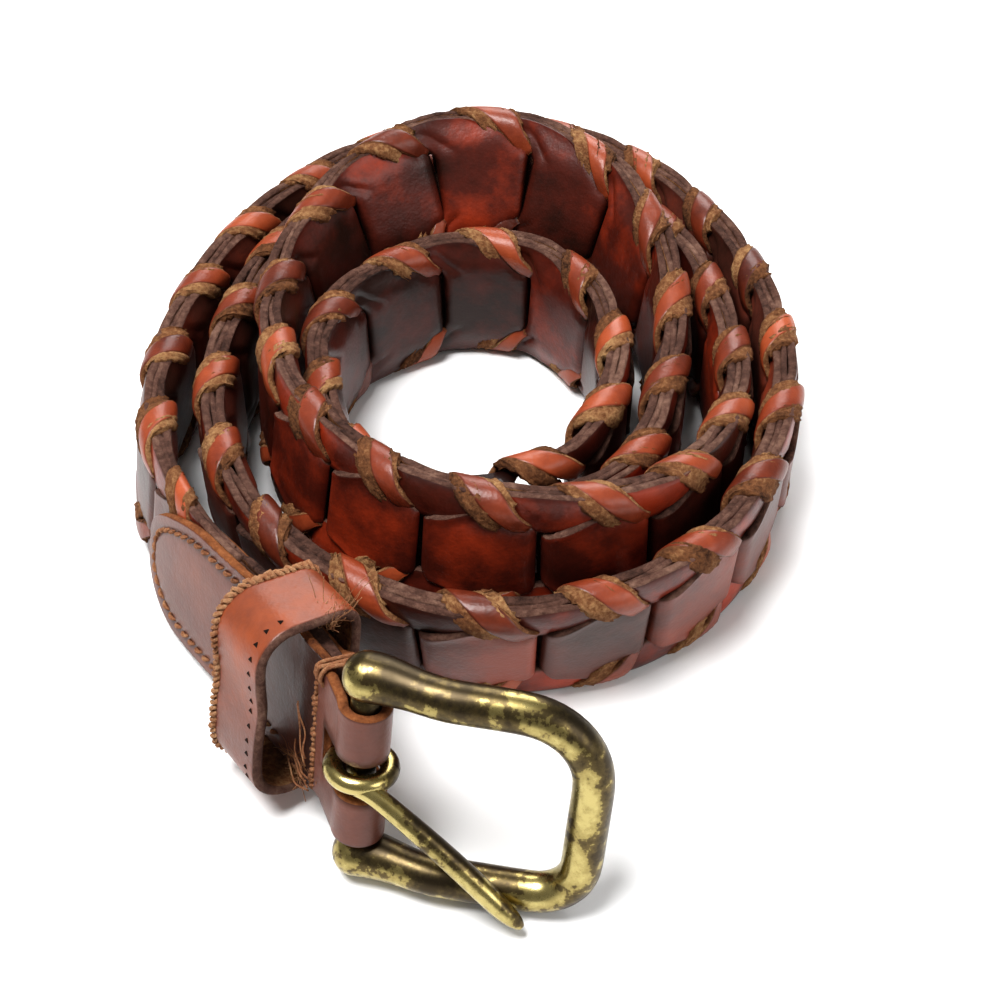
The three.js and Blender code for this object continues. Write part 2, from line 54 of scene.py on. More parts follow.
# Driving dimensions of the belt, as in the CAD, in millimetres
BELT_WIDTH = 30.0
LINK_PITCH = 21.0
COIL_RADIUS = 24.0
TURN_SPACING = 9.0
PLY_THICKNESS = 1.8
FILLER_THICKNESS = 3.6
BRAID_THICKNESS = 7.6
CLEARANCE = 0.3
END_WIDTH = 31.0
END_OVERLAP = 9.0
WRAP_WIDTH = 28.0
SLOT_HEIGHT = 6.4
SLOT_END_ROOM = 1.2
BRAID_END_ROOM = 5.0
KEEPER_LENGTH = 16.0
KEEPER_WALL = 2.0
KEEPER_ROOM = 7.2
KEEPER_SLACK = 1.2
KEEPER_BACK_BEND = 2.4
KEEPER_FRONT_BEND = 5.5
KEEPER_FROM_BAR = 24.0
BAR_CENTRE = np.array([-18.0, -107.8, 22.9])
BAR_HEADING = -68.0
EARLY_RISE = 0.8
LATE_RISE = 0.5
BAR_RADIUS = 2.5
FRAME_HEIGHT = 38.0
FRAME_REACH = 38.5
FRAME_WIRE = 3.5
KNUCKLE_WIRE = 4.3
FRAME_BOW = 3.0
WIDE_CORNER = 13.0
TIGHT_CORNER = 8.0
EYE_RADIUS = 4.8
PRONG_WIRE = 1.7
PRONG_REACH = 30.0
PRONG_DROP = 21.6
BRAID_TAIL_AT = 1340.0
BRAID_SPLIT_AT = 452.0

# Rows of the coil, from the buckle inwards: degrees round the coil clockwise from the -X
# side, turns of room outside the coil radius, lift as a share of the width, lean in degrees
COIL_ROWS = np.array([
    (-48, 5.7, 0.045, -11), (-25, 4.85, 0.02, -9), (0, 4, 0.006, -3), (30, 3.7, 0, 0),
    (60, 4.05, 0, 0), (90, 4.7, 0, 0), (120, 4.4, 0, 0), (150, 3.95, 0, 0),
    (180, 4.1, 0, 0), (210, 4.8, 0, 1), (240, 5.8, 0, 5), (270, 6.05, 0.01, 10),
    (300, 5.1, 0, 6), (330, 3.8, 0, 0), (360, 2.85, 0, 0), (390, 2.68, 0, 0),
    (420, 2.93, 0, 0), (450, 3.3, 0, 0), (480, 3.15, 0, 0), (510, 2.85, 0, 0),
    (540, 2.95, 0, 0), (570, 3.72, 0.06, 0), (600, 4.4, 0.26, -3), (630, 3.95, 0.38, -10),
    (660, 2.85, 0.33, -12), (690, 2.08, 0.25, -6), (720, 1.87, 0.2, 4), (750, 1.98, 0.3, 13),
    (780, 2.5, 0.48, 24), (810, 3.0, 0.55, 28), (840, 2.7, 0.48, 24), (870, 2.1, 0.3, 13),
    (900, 1.85, 0.08, 3), (930, 2.1, 0, 0), (960, 3.2, 0, 0), (990, 3.3, 0, 0),
    (1020, 2.25, 0, 0), (1050, 1.25, 0, 0), (1080, 0.72, 0, 0), (1110, 0.22, 0, 3),
    (1140, 0.05, 0, 6), (1170, 0.08, 0, 6), (1200, 0.14, 0, 6), (1230, 0.18, 0, 4),
    (1260, 0.35, 0, 2), (1290, 0.9, 0, 0), (1310, 1.5, 0, 0), (1330, 2.15, 0, 0),
    (1350, 2.35, 0, 0), (1380, 1.4, 0, 0), (1400, 0.7, 0, 0),
], float)

hinge = next(joint for joint in frame["joints"] if joint["name"] == "frame_hinge")
SHIFT = np.array(hinge["pos_m"]) / MM - BAR_CENTRE


def unit(vectors):
    return vectors / np.maximum(np.linalg.norm(vectors, axis=-1, keepdims=True), 1e-9)


def smooth(t):
    t = np.clip(t, 0.0, 1.0)
    return t * t * (3 - 2 * t)


# The buckle's own directions: along the arms from the bar, up the bar, out from the frame
FRAME_ALONG = unit(np.array([0.987, -0.148, -0.055]))
FRAME_UP = np.array([0.102, 0.246, 0.964])
FRAME_UP = unit(FRAME_UP - FRAME_ALONG * (FRAME_UP @ FRAME_ALONG))
FRAME_OUT = np.cross(FRAME_ALONG, FRAME_UP)


def in_frame(along, up, out):
    """Points of the buckle in metres, from lengths in its own directions."""
    along, up, out = np.broadcast_arrays(along, up, out)
    points = (BAR_CENTRE + SHIFT + along[..., None] * FRAME_ALONG + up[..., None] * FRAME_UP
              + out[..., None] * FRAME_OUT)
    return points * MM


def through_rows(column, at):
    """Smooth curve through a column of the coil's rows."""
    ats, values = COIL_ROWS[:, 0], COIL_ROWS[:, column]
    i = np.clip(np.searchsorted(ats, at, side="left") - 1, 0, len(ats) - 2)
    low = np.maximum(np.arange(len(ats)) - 1, 0)
    high = np.minimum(np.arange(len(ats)) + 1, len(ats) - 1)
    slopes = (values[high] - values[low]) / (ats[high] - ats[low])
    span = ats[i + 1] - ats[i]
    t = (at - ats[i]) / span
    ease = t * t * (3 - 2 * t)
    bend = slopes[i] * t * (1 - t) ** 2 + slopes[i + 1] * t * t * (t - 1)
    return values[i] * (1 - ease) + values[i + 1] * ease + bend * span


def coil_top(at):
    radius = COIL_RADIUS + TURN_SPACING * through_rows(1, at)
    lean = np.radians(through_rows(3, at))
    angle = np.radians(180 - at)
    z = BELT_WIDTH * (through_rows(2, at) + np.cos(lean))
    return np.stack([radius * np.cos(angle), radius * np.sin(angle), z], -1)


def belt_stations():
    """The belt's middle, its direction across and along, and its run, from the tip to the bar."""
    at = np.arange(COIL_ROWS[-1, 0], COIL_ROWS[0, 0] - 0.5, -1.0)
    top = coil_top(at)
    along = coil_top(at - 1) - coil_top(at + 1)
    along[:, 2] = 0
    along = unit(along)
    lean = np.radians(through_rows(3, at))
    across = np.stack([along[:, 1], -along[:, 0], np.zeros(len(at))], -1) * np.sin(lean)[:, None]
    across[:, 2] = np.cos(lean)
    middle = top - across * BELT_WIDTH / 2

    start = middle[-1]
    reach = np.linalg.norm(BAR_CENTRE - start)
    rise = BAR_CENTRE[2] - start[2]
    leave = along[-1] * reach
    leave[2] = rise * EARLY_RISE
    heading = math.radians(BAR_HEADING)
    arrive = np.array([math.cos(heading) * reach, math.sin(heading) * reach, rise * LATE_RISE])
    steps = math.ceil(reach / 2)
    t = np.arange(1, steps + 1)[:, None] / steps
    ease = t * t * (3 - 2 * t)
    lead = start * (1 - ease) + BAR_CENTRE * ease
    lead = lead + leave * t * (1 - t) ** 2 + arrive * t * t * (t - 1)
    lead_across = unit(across[-1] * (1 - ease) + FRAME_UP * ease)

    middle = np.concatenate([middle, lead])
    across = np.concatenate([across, lead_across])
    at = np.concatenate([at, np.full(steps, COIL_ROWS[0, 0])])
    run = np.concatenate([[0], np.cumsum(np.linalg.norm(np.diff(middle, axis=0), axis=1))])
    forward = np.empty_like(middle)
    forward[1:-1] = middle[2:] - middle[:-2]
    forward[0] = middle[1] - middle[0]
    forward[-1] = middle[-1] - middle[-2]
    return middle, across, unit(forward), run, at


MIDDLE, ACROSS, FORWARD, RUN, STATION_AT = belt_stations()
BAR_RUN = RUN[-1]


def run_at(at):
    """Length along the belt at an angle round the coil."""
    return RUN[np.argmax(STATION_AT <= at)]


STACK_HALF = FILLER_THICKNESS / 2 + CLEARANCE + PLY_THICKNESS / 2
WRAP_RADIUS = BAR_RADIUS + CLEARANCE + PLY_THICKNESS / 2
SEWN_START = run_at(COIL_ROWS[0, 0]) - END_OVERLAP
TAIL_RUN = run_at(BRAID_TAIL_AT)
HEAD_RUN = BAR_RUN - WRAP_RADIUS - BRAID_END_ROOM
PITCH_COUNT = math.floor((HEAD_RUN - TAIL_RUN) / LINK_PITCH)
PITCH = (HEAD_RUN - TAIL_RUN) / PITCH_COUNT
SPLIT_PITCH = round((run_at(BRAID_SPLIT_AT) - TAIL_RUN) / PITCH)
# Where a link's own zero lies, in pitches after the whole pitch that it is counted from
LINK_ZERO = 0.68


def pressed(run):
    """Share of the braid's thickness left at a run: it is pressed flat in the sewn end."""
    ease = smooth((run - SEWN_START + LINK_PITCH) / LINK_PITCH)
    return 1 - ease * (1 - FILLER_THICKNESS / BRAID_THICKNESS)


def belt_axes(run):
    """The belt's middle in millimetres and its directions across and outward."""
    run = np.asarray(run, float)
    i = np.clip(np.searchsorted(RUN, run, side="right") - 1, 0, len(RUN) - 2)
    t = ((run - RUN[i]) / (RUN[i + 1] - RUN[i]))[..., None]
    middle = MIDDLE[i] * (1 - t) + MIDDLE[i + 1] * t
    across = unit(ACROSS[i] * (1 - t) + ACROSS[i + 1] * t)
    forward = unit(FORWARD[i] * (1 - t) + FORWARD[i + 1] * t)
    return middle, across, unit(np.cross(forward, across))


def belt_points(run, height, depth, chord=None, flat=0.0):
    """Points of the belt in metres. chord: two runs that the belt is flattened between."""
    run, height, depth = np.broadcast_arrays(run, height, depth)
    middle, across, outward = belt_axes(run)
    if chord is not None:
        ends, chord_across, chord_out = belt_axes(np.array(chord, float))
        t = ((run - chord[0]) / (chord[1] - chord[0]))[..., None]
        share = flat * smooth(1.25 - np.abs(t - 0.5) * 1.5)
        middle = middle * (1 - share) + (ends[0] * (1 - t) + ends[1] * t) * share
        outward = unit(outward * (1 - share) + unit(chord_out[0] + chord_out[1]) * share)
        across = unit(across * (1 - share) + unit(chord_across[0] + chord_across[1]) * share)
    points = middle + across * (height - BELT_WIDTH / 2)[..., None] + outward * depth[..., None]
    return (points + SHIFT) * MM


def evenly(points, step):
    """A line's points set again at even lengths, and those lengths."""
    lengths = np.concatenate([[0], np.cumsum(np.linalg.norm(np.diff(points, axis=0), axis=1))])
    at = np.linspace(0, lengths[-1], max(2, round(lengths[-1] / step) + 1))
    return np.stack([np.interp(at, lengths, values) for values in points.T], 1), at


def carried(points):
    """Two directions across a line of points, carried along it without a twist."""
    forward = unit(np.gradient(points, axis=0))
    normal = np.cross(forward[0], np.eye(3)[np.argmin(np.abs(forward[0]))])
    normals = []
    for way in forward:
        normal = unit(normal - way * (normal @ way))
        normals.append(normal)
    normals = np.array(normals)
    return normals, np.cross(forward, normals)


# Sheets of leather as closed meshes

SKIN, EDGE, SUEDE = 0, 1, 2
_topologies = {}


def topology(rows, columns, closed=False, hole=None):
    """Faces of a sheet's skin and the chain of its border, for a grid of points."""
    key = (rows, columns, closed, hole)
    if key in _topologies:
        return _topologies[key]
    cells = []
    last = rows if closed else rows - 1
    for i in range(last):
        for j in range(columns - 1):
            if hole and hole[0] <= i < hole[1] and hole[2] <= j < hole[3]:
                continue
            k = (i + 1) % rows
            cells.append((i * columns + j, k * columns + j, k * columns + j + 1, i * columns + j + 1))
    cells = np.array(cells)
    edges = {}
    for n, cell in enumerate(cells):
        for a, b in zip(cell, np.roll(cell, -1)):
            edges[(int(a), int(b))] = n
    border = [edge for edge in edges if (edge[1], edge[0]) not in edges]
    rim = sorted({a for edge in border for a in edge})
    near = {a: [] for a in rim}
    for cell in cells:
        for a in cell:
            if int(a) in near:
                near[int(a)].append(cell)
    _topologies[key] = (cells, np.array(border), np.array(rim), [np.concatenate(near[a]) for a in rim])
    return _topologies[key]


class Sheets:
    """Collects closed sheets into one mesh, with a tone and a darkening value at each point, for rubbed edges
    and painted shade.
    """

    def __init__(self):
        self.points, self.faces, self.kinds, self.tones, self.wears = [], [], [], [], []
        self.count = 0

    def add(self, points, faces, kinds, tones, wears):
        self.points.append(points)
        self.faces.append(faces + self.count)
        self.kinds.append(kinds)
        self.tones.append(tones)
        self.wears.append(wears)
        self.count += len(points)

    def sheet(self, centre, thickness, tone=0.5, back=SUEDE, front=SKIN, edge=EDGE, bevel=0.35,
              closed=False, hole=None, rag=0.0, rng=None, rough=0.0, worn_and_shaded=0.0):
        """centre: grid of points in metres, rows by columns, its normal towards the grain side.
        rag and rough: how uneven the border and the grain side are, in millimetres."""
        rows, columns = centre.shape[:2]
        cells, border, rim, near = topology(rows, columns, closed, hole)
        if closed:
            wrapped = np.concatenate([centre[-1:], centre, centre[:1]])
            du = np.gradient(wrapped, axis=0)[1:-1]
        else:
            du = np.gradient(centre, axis=0)
        dv = np.gradient(centre, axis=1)
        normal = unit(np.cross(du, dv)).reshape(-1, 3)
        flat = centre.reshape(-1, 3)
        half = np.broadcast_to(np.asarray(thickness, float) * MM / 2, (rows, columns)).reshape(-1, 1)
        inward = np.zeros_like(flat)
        inward[rim] = unit(np.stack([flat[ids].mean(0) for ids in near]) - flat[rim])
        rounding = bevel * MM
        jitter = np.zeros((len(rim), 1))
        if rag and rng is not None:
            jitter = rng.normal(0, rag * MM, (len(rim), 1))
        pull = inward * rounding
        lumps = 0.0
        if rough:
            lumps = rng.normal(0, rough, (1, columns)) + rng.normal(0, rough * 0.5, (rows, columns))
            lumps = lumps.reshape(-1, 1) * MM
        front_points = flat + normal * (half + lumps) + pull
        back_points = flat - normal * half + pull
        outer = flat[rim] - inward[rim] * jitter
        shoulder = np.maximum(half[rim] - rounding, half[rim] * 0.3)
        front_rim = outer + normal[rim] * shoulder
        back_rim = outer - normal[rim] * shoulder
        size = len(flat)
        place = {int(a): n for n, a in enumerate(rim)}
        a = border[:, 0]
        b = border[:, 1]
        ra = np.array([place[int(x)] for x in a])
        rb = np.array([place[int(x)] for x in b])
        front_ring = 2 * size
        back_ring = 2 * size + len(rim)
        faces = np.concatenate([
            cells,
            cells[:, ::-1] + size,
            np.stack([b, a, front_ring + ra, front_ring + rb], 1),
            np.stack([front_ring + rb, front_ring + ra, back_ring + ra, back_ring + rb], 1),
            np.stack([back_ring + rb, back_ring + ra, size + a, size + b], 1),
        ])
        kinds = np.concatenate([
            np.full(len(cells), front),
            np.full(len(cells), back),
            np.full(len(border), edge),
            np.full(len(border), edge),
            np.full(len(border), edge),
        ])
        points = np.concatenate([front_points, back_points, front_rim, back_rim])
        # Darkening at each point: 1 on the borders for rubbed edges, plus what the caller passes, which on
        # the tab is partly painted shade
        wear_and_shade = np.zeros(len(points))
        wear_and_shade[:size] = np.broadcast_to(worn_and_shaded, (rows, columns)).reshape(-1)
        wear_and_shade[rim] = 1
        wear_and_shade[size + rim] = 1
        wear_and_shade[2 * size:] = 1
        tones = np.broadcast_to(tone, (rows, columns)).reshape(-1)
        tones = np.concatenate([tones, tones, tones[rim], tones[rim]])
        self.add(points, faces, kinds, tones, wear_and_shade)

    def tube(self, points, radii, sides=6, tone=0.5, kind=SKIN):
        """A round tube with closed ends. points: in metres along its middle, radii: millimetres."""
        points = np.asarray(points, float)
        radii = np.broadcast_to(radii, len(points))[:, None, None] * MM
        normals, beside = carried(points)
        angles = (np.arange(sides) / sides * math.tau)[None, :, None]
        around = np.cos(angles) * normals[:, None] + np.sin(angles) * beside[:, None]
        vertices = (points[:, None] + around * radii).reshape(-1, 3)
        ring = np.arange(len(points) - 1)[:, None] * sides
        k = np.arange(sides)[None, :]
        after = (k + 1) % sides
        wall = np.stack([ring + k, ring + after, ring + sides + after, ring + sides + k], -1)
        cap = np.array([(0, n, n + 1, n + 2) for n in range(1, sides - 2, 2)])
        last = (len(points) - 1) * sides
        faces = np.concatenate([wall.reshape(-1, 4), cap[:, ::-1], cap + last])
        self.add(vertices, faces, np.full(len(faces), kind), np.full(len(vertices), tone),
                 np.zeros(len(vertices)))

    def cord(self, line, lay, wire, pitch, rng, uneven):
        """Two strands twisted round a line of points in metres. lay, wire and pitch: millimetres."""
        points, at = evenly(line, 0.4 * MM)
        normals, beside = carried(points)
        for strand in (0, 1):
            turn = (at / (pitch * MM) * math.tau + strand * math.pi)[:, None]
            sway = lay * MM * (1 + rng.normal(0, uneven, (len(at), 1)))
            strand_line = points + (np.cos(turn) * normals + np.sin(turn) * beside) * sway
            radii = wire * (1 + rng.normal(0, uneven, len(at)))
            self.tube(strand_line, radii, 6, rng.uniform(0.35, 0.75))

    def make(self, name, materials, body, slot, replaced=()):
        mesh = bpy.data.meshes.new(name)
        points = np.concatenate(self.points)
        faces = np.concatenate(self.faces)
        mesh.from_pydata(points.tolist(), [], faces.tolist())
        mesh.polygons.foreach_set("material_index", np.concatenate(self.kinds).astype(np.int32))
        mesh.polygons.foreach_set("use_smooth", np.ones(len(faces), bool))
        write_values(mesh, "tone", self.tones)
        write_values(mesh, "wear_and_shade", self.wears)
        for material in materials:
            mesh.materials.append(material)
        finish_piece(name, mesh, body, replaced)


def new_object(name, data):
    """An object for a mesh, a light or a camera, put into the scene."""
    made = bpy.data.objects.new(name, data)
    bpy.context.scene.collection.objects.link(made)
    return made


def write_values(mesh, label, values):
    """A value at each point of a mesh, for the materials."""
    attribute = mesh.attributes.new(label, "FLOAT", "POINT")
    attribute.data.foreach_set("value", np.concatenate(values).astype(np.float32))


def finish_piece(name, mesh, body, replaced=()):
    """A piece from its mesh. body: what it rides on, replaced: the CAD nodes that it stands for."""
    mesh.update()
    piece = new_object(name, mesh)
    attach(piece, body)
    if replaced:
        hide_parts(*replaced)


# Materials

def node_material(name):
    material = bpy.data.materials.new(name)
    material.use_nodes = True
    tree = material.node_tree
    shader = tree.nodes["Principled BSDF"]
    return material, tree, shader


def noise_node(tree, vector, scale, detail=4.0, roughness=0.55):
    node = tree.nodes.new("ShaderNodeTexNoise")
    node.inputs["Scale"].default_value = scale
    node.inputs["Detail"].default_value = detail
    node.inputs["Roughness"].default_value = roughness
    tree.links.new(vector, node.inputs["Vector"])
    return node.outputs["Fac"]


def ramp_node(tree, factor, stops):
    node = tree.nodes.new("ShaderNodeValToRGB")
    ramp = node.color_ramp
    while len(ramp.elements) < len(stops):
        ramp.elements.new(0.5)
    for element, (place, colour) in zip(ramp.elements, stops):
        element.position = place
        element.color = (*colour, 1.0)
    tree.links.new(factor, node.inputs["Fac"])
    return node.outputs["Color"]


def mix_node(tree, factor, first, second):
    node = tree.nodes.new("ShaderNodeMix")
    node.data_type = "RGBA"
    for socket, value in ((node.inputs[0], factor), (node.inputs[6], first), (node.inputs[7], second)):
        if isinstance(value, bpy.types.NodeSocket):
            tree.links.new(value, socket)
        elif isinstance(value, (int, float)):
            socket.default_value = value
        else:
            socket.default_value = (*value, 1.0)
    return node.outputs[2]


def math_node(tree, operation, first, second=0.0, third=0.0, clamp=False):
    node = tree.nodes.new("ShaderNodeMath")
    node.operation = operation
    node.use_clamp = clamp
    for socket, value in zip(node.inputs, (first, second, third)):
        if isinstance(value, bpy.types.NodeSocket):
            tree.links.new(value, socket)
        else:
            socket.default_value = value
    return node.outputs[0]


def attribute_node(tree, name):
    node = tree.nodes.new("ShaderNodeAttribute")
    node.attribute_name = name
    return node.outputs["Fac"]


def bump_nodes(tree, shader, layers):
    """layers: (height socket, strength, distance in metres), from coarse to fine."""
    last = None
    for height, strength, distance in layers:
        node = tree.nodes.new("ShaderNodeBump")
        node.inputs["Strength"].default_value = strength
        node.inputs["Distance"].default_value = distance
        tree.links.new(height, node.inputs["Height"])
        if last is not None:
            tree.links.new(last, node.inputs["Normal"])
        last = node.outputs["Normal"]
    tree.links.new(last, shader.inputs["Normal"])


def grain_leather(name, dark, mid, bright, roughness=(0.3, 0.5), coat=0.1, patch_scale=85.0, patchy=0.9):
    """Polished leather: blotches of dark and bright dye, fine pores and creases."""
    material, tree, shader = node_material(name)
    place = tree.nodes.new("ShaderNodeTexCoord").outputs["Object"]
    tone = attribute_node(tree, "tone")
    wear_and_shade = attribute_node(tree, "wear_and_shade")
    patches = noise_node(tree, place, patch_scale, 5.0, 0.6)
    fine = noise_node(tree, place, 900.0, 3.0)
    blotches = math_node(tree, "MULTIPLY_ADD", patches, patchy, 0.15 - patchy / 2)
    factor = math_node(tree, "MULTIPLY_ADD", tone, 0.65, blotches)
    factor = math_node(tree, "MULTIPLY_ADD", math_node(tree, "SUBTRACT", fine, 0.5), 0.12, factor)
    colour = ramp_node(tree, factor, [(0.12, dark), (0.45, mid), (0.82, bright)])
    # Darker by the stored value: rubbed edges, and painted shade where a sheet was given it
    worn_and_shaded = mix_node(tree, math_node(tree, "MULTIPLY", wear_and_shade, 0.55), colour, tuple(c * 0.42 for c in dark))
    tree.links.new(worn_and_shaded, shader.inputs["Base Color"])
    low, high = roughness
    shine = math_node(tree, "MULTIPLY_ADD", patches, high - low, low)
    tree.links.new(shine, shader.inputs["Roughness"])
    shader.inputs["Specular IOR Level"].default_value = 0.36
    shader.inputs["Coat Weight"].default_value = coat
    shader.inputs["Coat Roughness"].default_value = 0.32
    pores = tree.nodes.new("ShaderNodeTexVoronoi")
    pores.inputs["Scale"].default_value = 1500.0
    tree.links.new(place, pores.inputs["Vector"])
    creases = noise_node(tree, place, 260.0, 6.0, 0.65)
    bump_nodes(tree, shader, [(creases, 0.3, 0.0006), (pores.outputs["Distance"], 0.12, 0.0002)])
    return material


def rough_leather(name, dark, mid, bright, scale=700.0):
    """Cut edges and torn flesh side: matt, fibrous and uneven."""
    material, tree, shader = node_material(name)
    place = tree.nodes.new("ShaderNodeTexCoord").outputs["Object"]
    fibres = noise_node(tree, place, scale, 8.0, 0.7)
    patches = noise_node(tree, place, 120.0, 3.0)
    tone = attribute_node(tree, "tone")
    factor = math_node(tree, "MULTIPLY_ADD", fibres, 0.7, math_node(tree, "MULTIPLY", patches, 0.45))
    factor = math_node(tree, "MULTIPLY_ADD", tone, 0.2, math_node(tree, "SUBTRACT", factor, 0.16))
    colour = ramp_node(tree, factor, [(0.3, dark), (0.52, mid), (0.8, bright)])
    tree.links.new(colour, shader.inputs["Base Color"])
    shader.inputs["Roughness"].default_value = 0.92
    shader.inputs["Specular IOR Level"].default_value = 0.2
    bump_nodes(tree, shader, [(patches, 0.4, 0.0008), (fibres, 1.0, 0.0009)])
    return material


def brass_material():
    """Old brass: rubbed bright in patches, with dark tarnish between them."""
    material, tree, shader = node_material("old_brass")
    place = tree.nodes.new("ShaderNodeTexCoord").outputs["Object"]
    broad = noise_node(tree, place, 60.0, 6.0, 0.66)
    specks = noise_node(tree, place, 420.0, 5.0, 0.65)
    factor = math_node(tree, "MULTIPLY_ADD", specks, 0.34, math_node(tree, "MULTIPLY", broad, 0.79))
    factor = math_node(tree, "MULTIPLY_ADD", attribute_node(tree, "tone"), 0.24,
                       math_node(tree, "SUBTRACT", factor, 0.12))
    colour = ramp_node(tree, factor, [
        (0.48, (0.06, 0.046, 0.028)),
        (0.565, (0.13, 0.098, 0.046)),
        (0.58, (0.3, 0.24, 0.095)),
        (0.68, (0.47, 0.39, 0.165)),
    ])
    tree.links.new(colour, shader.inputs["Base Color"])
    shader.inputs["Metallic"].default_value = 1.0
    shine = math_node(tree, "MULTIPLY_ADD", factor, -0.7, 0.72, clamp=True)
    tree.links.new(shine, shader.inputs["Roughness"])
    bump_nodes(tree, shader, [(broad, 0.1, 0.0006), (specks, 0.1, 0.0002)])
    return material


LINK_SKIN = grain_leather("link_leather", (0.02, 0.006, 0.0035), (0.08, 0.012, 0.006), (0.3, 0.036, 0.01),
                          coat=0.12, patch_scale=55.0, patchy=1.6)
# The outer turn's panels: a paler, greyer copy of the link leather, with the sheen of the bright surroundings
# painted into its colour
SHEEN_LINK_SKIN = grain_leather("outer_link_leather_painted_sheen", (0.04, 0.014, 0.009), (0.105, 0.028, 0.018),
                          (0.23, 0.042, 0.018), patch_scale=55.0, patchy=1.4)
STRAP_SKIN = grain_leather("strap_leather", (0.06, 0.012, 0.006), (0.18, 0.034, 0.013), (0.36, 0.078, 0.026),
                           roughness=(0.28, 0.46))
CUT_EDGE = rough_leather("cut_edge", (0.024, 0.011, 0.008), (0.105, 0.052, 0.038), (0.27, 0.16, 0.115))
TORN_SIDE = rough_leather("torn_side", (0.035, 0.014, 0.007), (0.19, 0.08, 0.034), (0.5, 0.3, 0.14),
                          scale=1000.0)
TAB_SKIN = grain_leather("tab_leather", (0.05, 0.018, 0.012), (0.13, 0.044, 0.029), (0.23, 0.08, 0.049),
                         roughness=(0.34, 0.5), patch_scale=60.0)
KEEPER_SKIN = grain_leather("keeper_leather", (0.075, 0.02, 0.011), (0.155, 0.042, 0.021), (0.31, 0.07, 0.02))
TIP_SKIN = grain_leather("tip_leather", (0.015, 0.004, 0.003), (0.03, 0.008, 0.005), (0.06, 0.014, 0.008),
                         coat=0.0)
TAN_EDGE = rough_leather("tan_edge", (0.07, 0.022, 0.009), (0.24, 0.085, 0.03), (0.42, 0.19, 0.08))
THREAD = rough_leather("waxed_thread", (0.1, 0.04, 0.02), (0.36, 0.16, 0.08), (0.62, 0.4, 0.22),
                       scale=1500.0)
# Near-black: painted shade for the openings of the keeper's lacing slits
SLIT_SHADE = rough_leather("slit_shade", (0.006, 0.003, 0.002), (0.012, 0.005, 0.003), (0.03, 0.012, 0.008))
BRASS = brass_material()


# The braid

STRAP_WIDTH = 4.6
STRAP_THICKNESS = 1.5
STRAP_RADIUS = 3.2
STRAP_TOP = 0.55
STRAP_MIDDLE = -0.5
STRAP_SPAN = 8.9
STRAP_ADVANCE = 9.6
RIDGE_DROP = 1.0
BRAID_UNDER_TAB = 8.0
GAP_START = -0.02
GAP_END = 0.08
PANEL_DEPTH = 2.9
PANEL_THICKNESS = 1.7


def over_edge(around, radius, drop):
    """From a length round the belt's edge to the drop below the edge and the depth."""
    quarter = radius * math.pi / 2
    angle = np.clip(around / radius, -math.pi / 2, math.pi / 2)
    beyond = np.maximum(np.abs(around) - quarter, 0)
    return drop + radius * (1 - np.cos(angle)) + beyond, radius * np.sin(angle)


def strap_press(along, drop, strap):
    """How much a strap presses on the leather under it, on the outer face. along is in millimetres
    from the link's zero, strap is the strap's number after the link's own."""
    around = drop + STRAP_RADIUS * (math.pi / 2 - 1)
    line = (STRAP_MIDDLE + strap) * PITCH + STRAP_ADVANCE * around / STRAP_SPAN
    away = np.abs(along - line) * STRAP_SPAN / math.hypot(STRAP_ADVANCE, STRAP_SPAN)
    return smooth((STRAP_WIDTH / 2 + 1.4 - away) / 1.6) * smooth((STRAP_SPAN + 1.5 - around) / 2)


def link_height(drop, side):
    """Height from the belt's lower edge. side: 1 for the upper edge, -1 for the lower edge."""
    return BELT_WIDTH - drop if side > 0 else drop


def turned_in(away, radius):
    """How far a border folded at a radius has turned in, at a distance from it."""
    return radius * (1 - np.sqrt(np.clip(1 - (1 - np.clip(away / radius, 0, 1)) ** 2, 0, 1)))


def outer_panel(sheets, zero, tone, rng):
    """The outer panel: folded back on its left, its upper and lower lips rising to the straps."""
    fold = 1.75
    turned = 1.2
    lip = 7.4 + rng.normal(0, 0.35)
    start = GAP_END * PITCH + rng.normal(0, 0.12)
    end = (1 + GAP_START) * PITCH + rng.normal(0, 0.12)
    depth = PANEL_DEPTH + rng.normal(0, 0.12)
    angles = np.radians(np.linspace(255, 100, 8))
    along = list(start + fold + fold * np.cos(angles))
    deep = list(depth - fold + fold * np.sin(angles))
    straight = np.linspace(start + fold * 1.15, end - turned * 1.15, 14)
    along += list(straight)
    deep += list(depth - 0.45 * smooth((straight - start) / (end - start) * 1.1 - 0.35))
    angles = np.radians(np.linspace(75, 5, 5))
    along += list(end - turned + turned * np.cos(angles))
    deep += list(deep[-1] - turned + turned * np.sin(angles))
    along = np.array(along)[:, None]
    deep = np.array(deep)[:, None]
    share = np.clip((along - start) / (end - start), 0, 1)
    under_strap = (share - 0.5) / 0.62 * 9.2 + 0.4
    top = lip - 4.6 * smooth(share / 0.7)
    top = np.maximum(top, under_strap)
    top = top + 1.1 * smooth(1 - (along - start) / 1.6)
    rows = 15
    t = np.linspace(0, 1, rows)[None, :]
    t = 0.5 - 0.5 * np.cos(math.pi * (0.12 + 0.76 * t)) / math.cos(math.pi * 0.12)
    height = top + (BELT_WIDTH - 2 * top) * t
    drop = np.minimum(height, BELT_WIDTH - height)
    on_face = smooth((along - start) / fold)
    flare = 0.4 * smooth((top + 2.2 - drop) / 2.2) * on_face * smooth((0.75 - share) / 0.2)
    bulge = 0.45 * np.sin(math.pi * np.clip(share, 0, 1)) * smooth((drop - 4) / 9)
    press = strap_press(along, drop, 1) + 0.6 * strap_press(along, drop, 0)
    deep = deep + flare + bulge - 0.5 * press * on_face
    run = zero + along
    points = belt_points(run, height, deep * pressed(run), (zero + start, zero + end), 0.6)
    sheets.sheet(points, PANEL_THICKNESS, tone, rag=0.05, rng=rng)


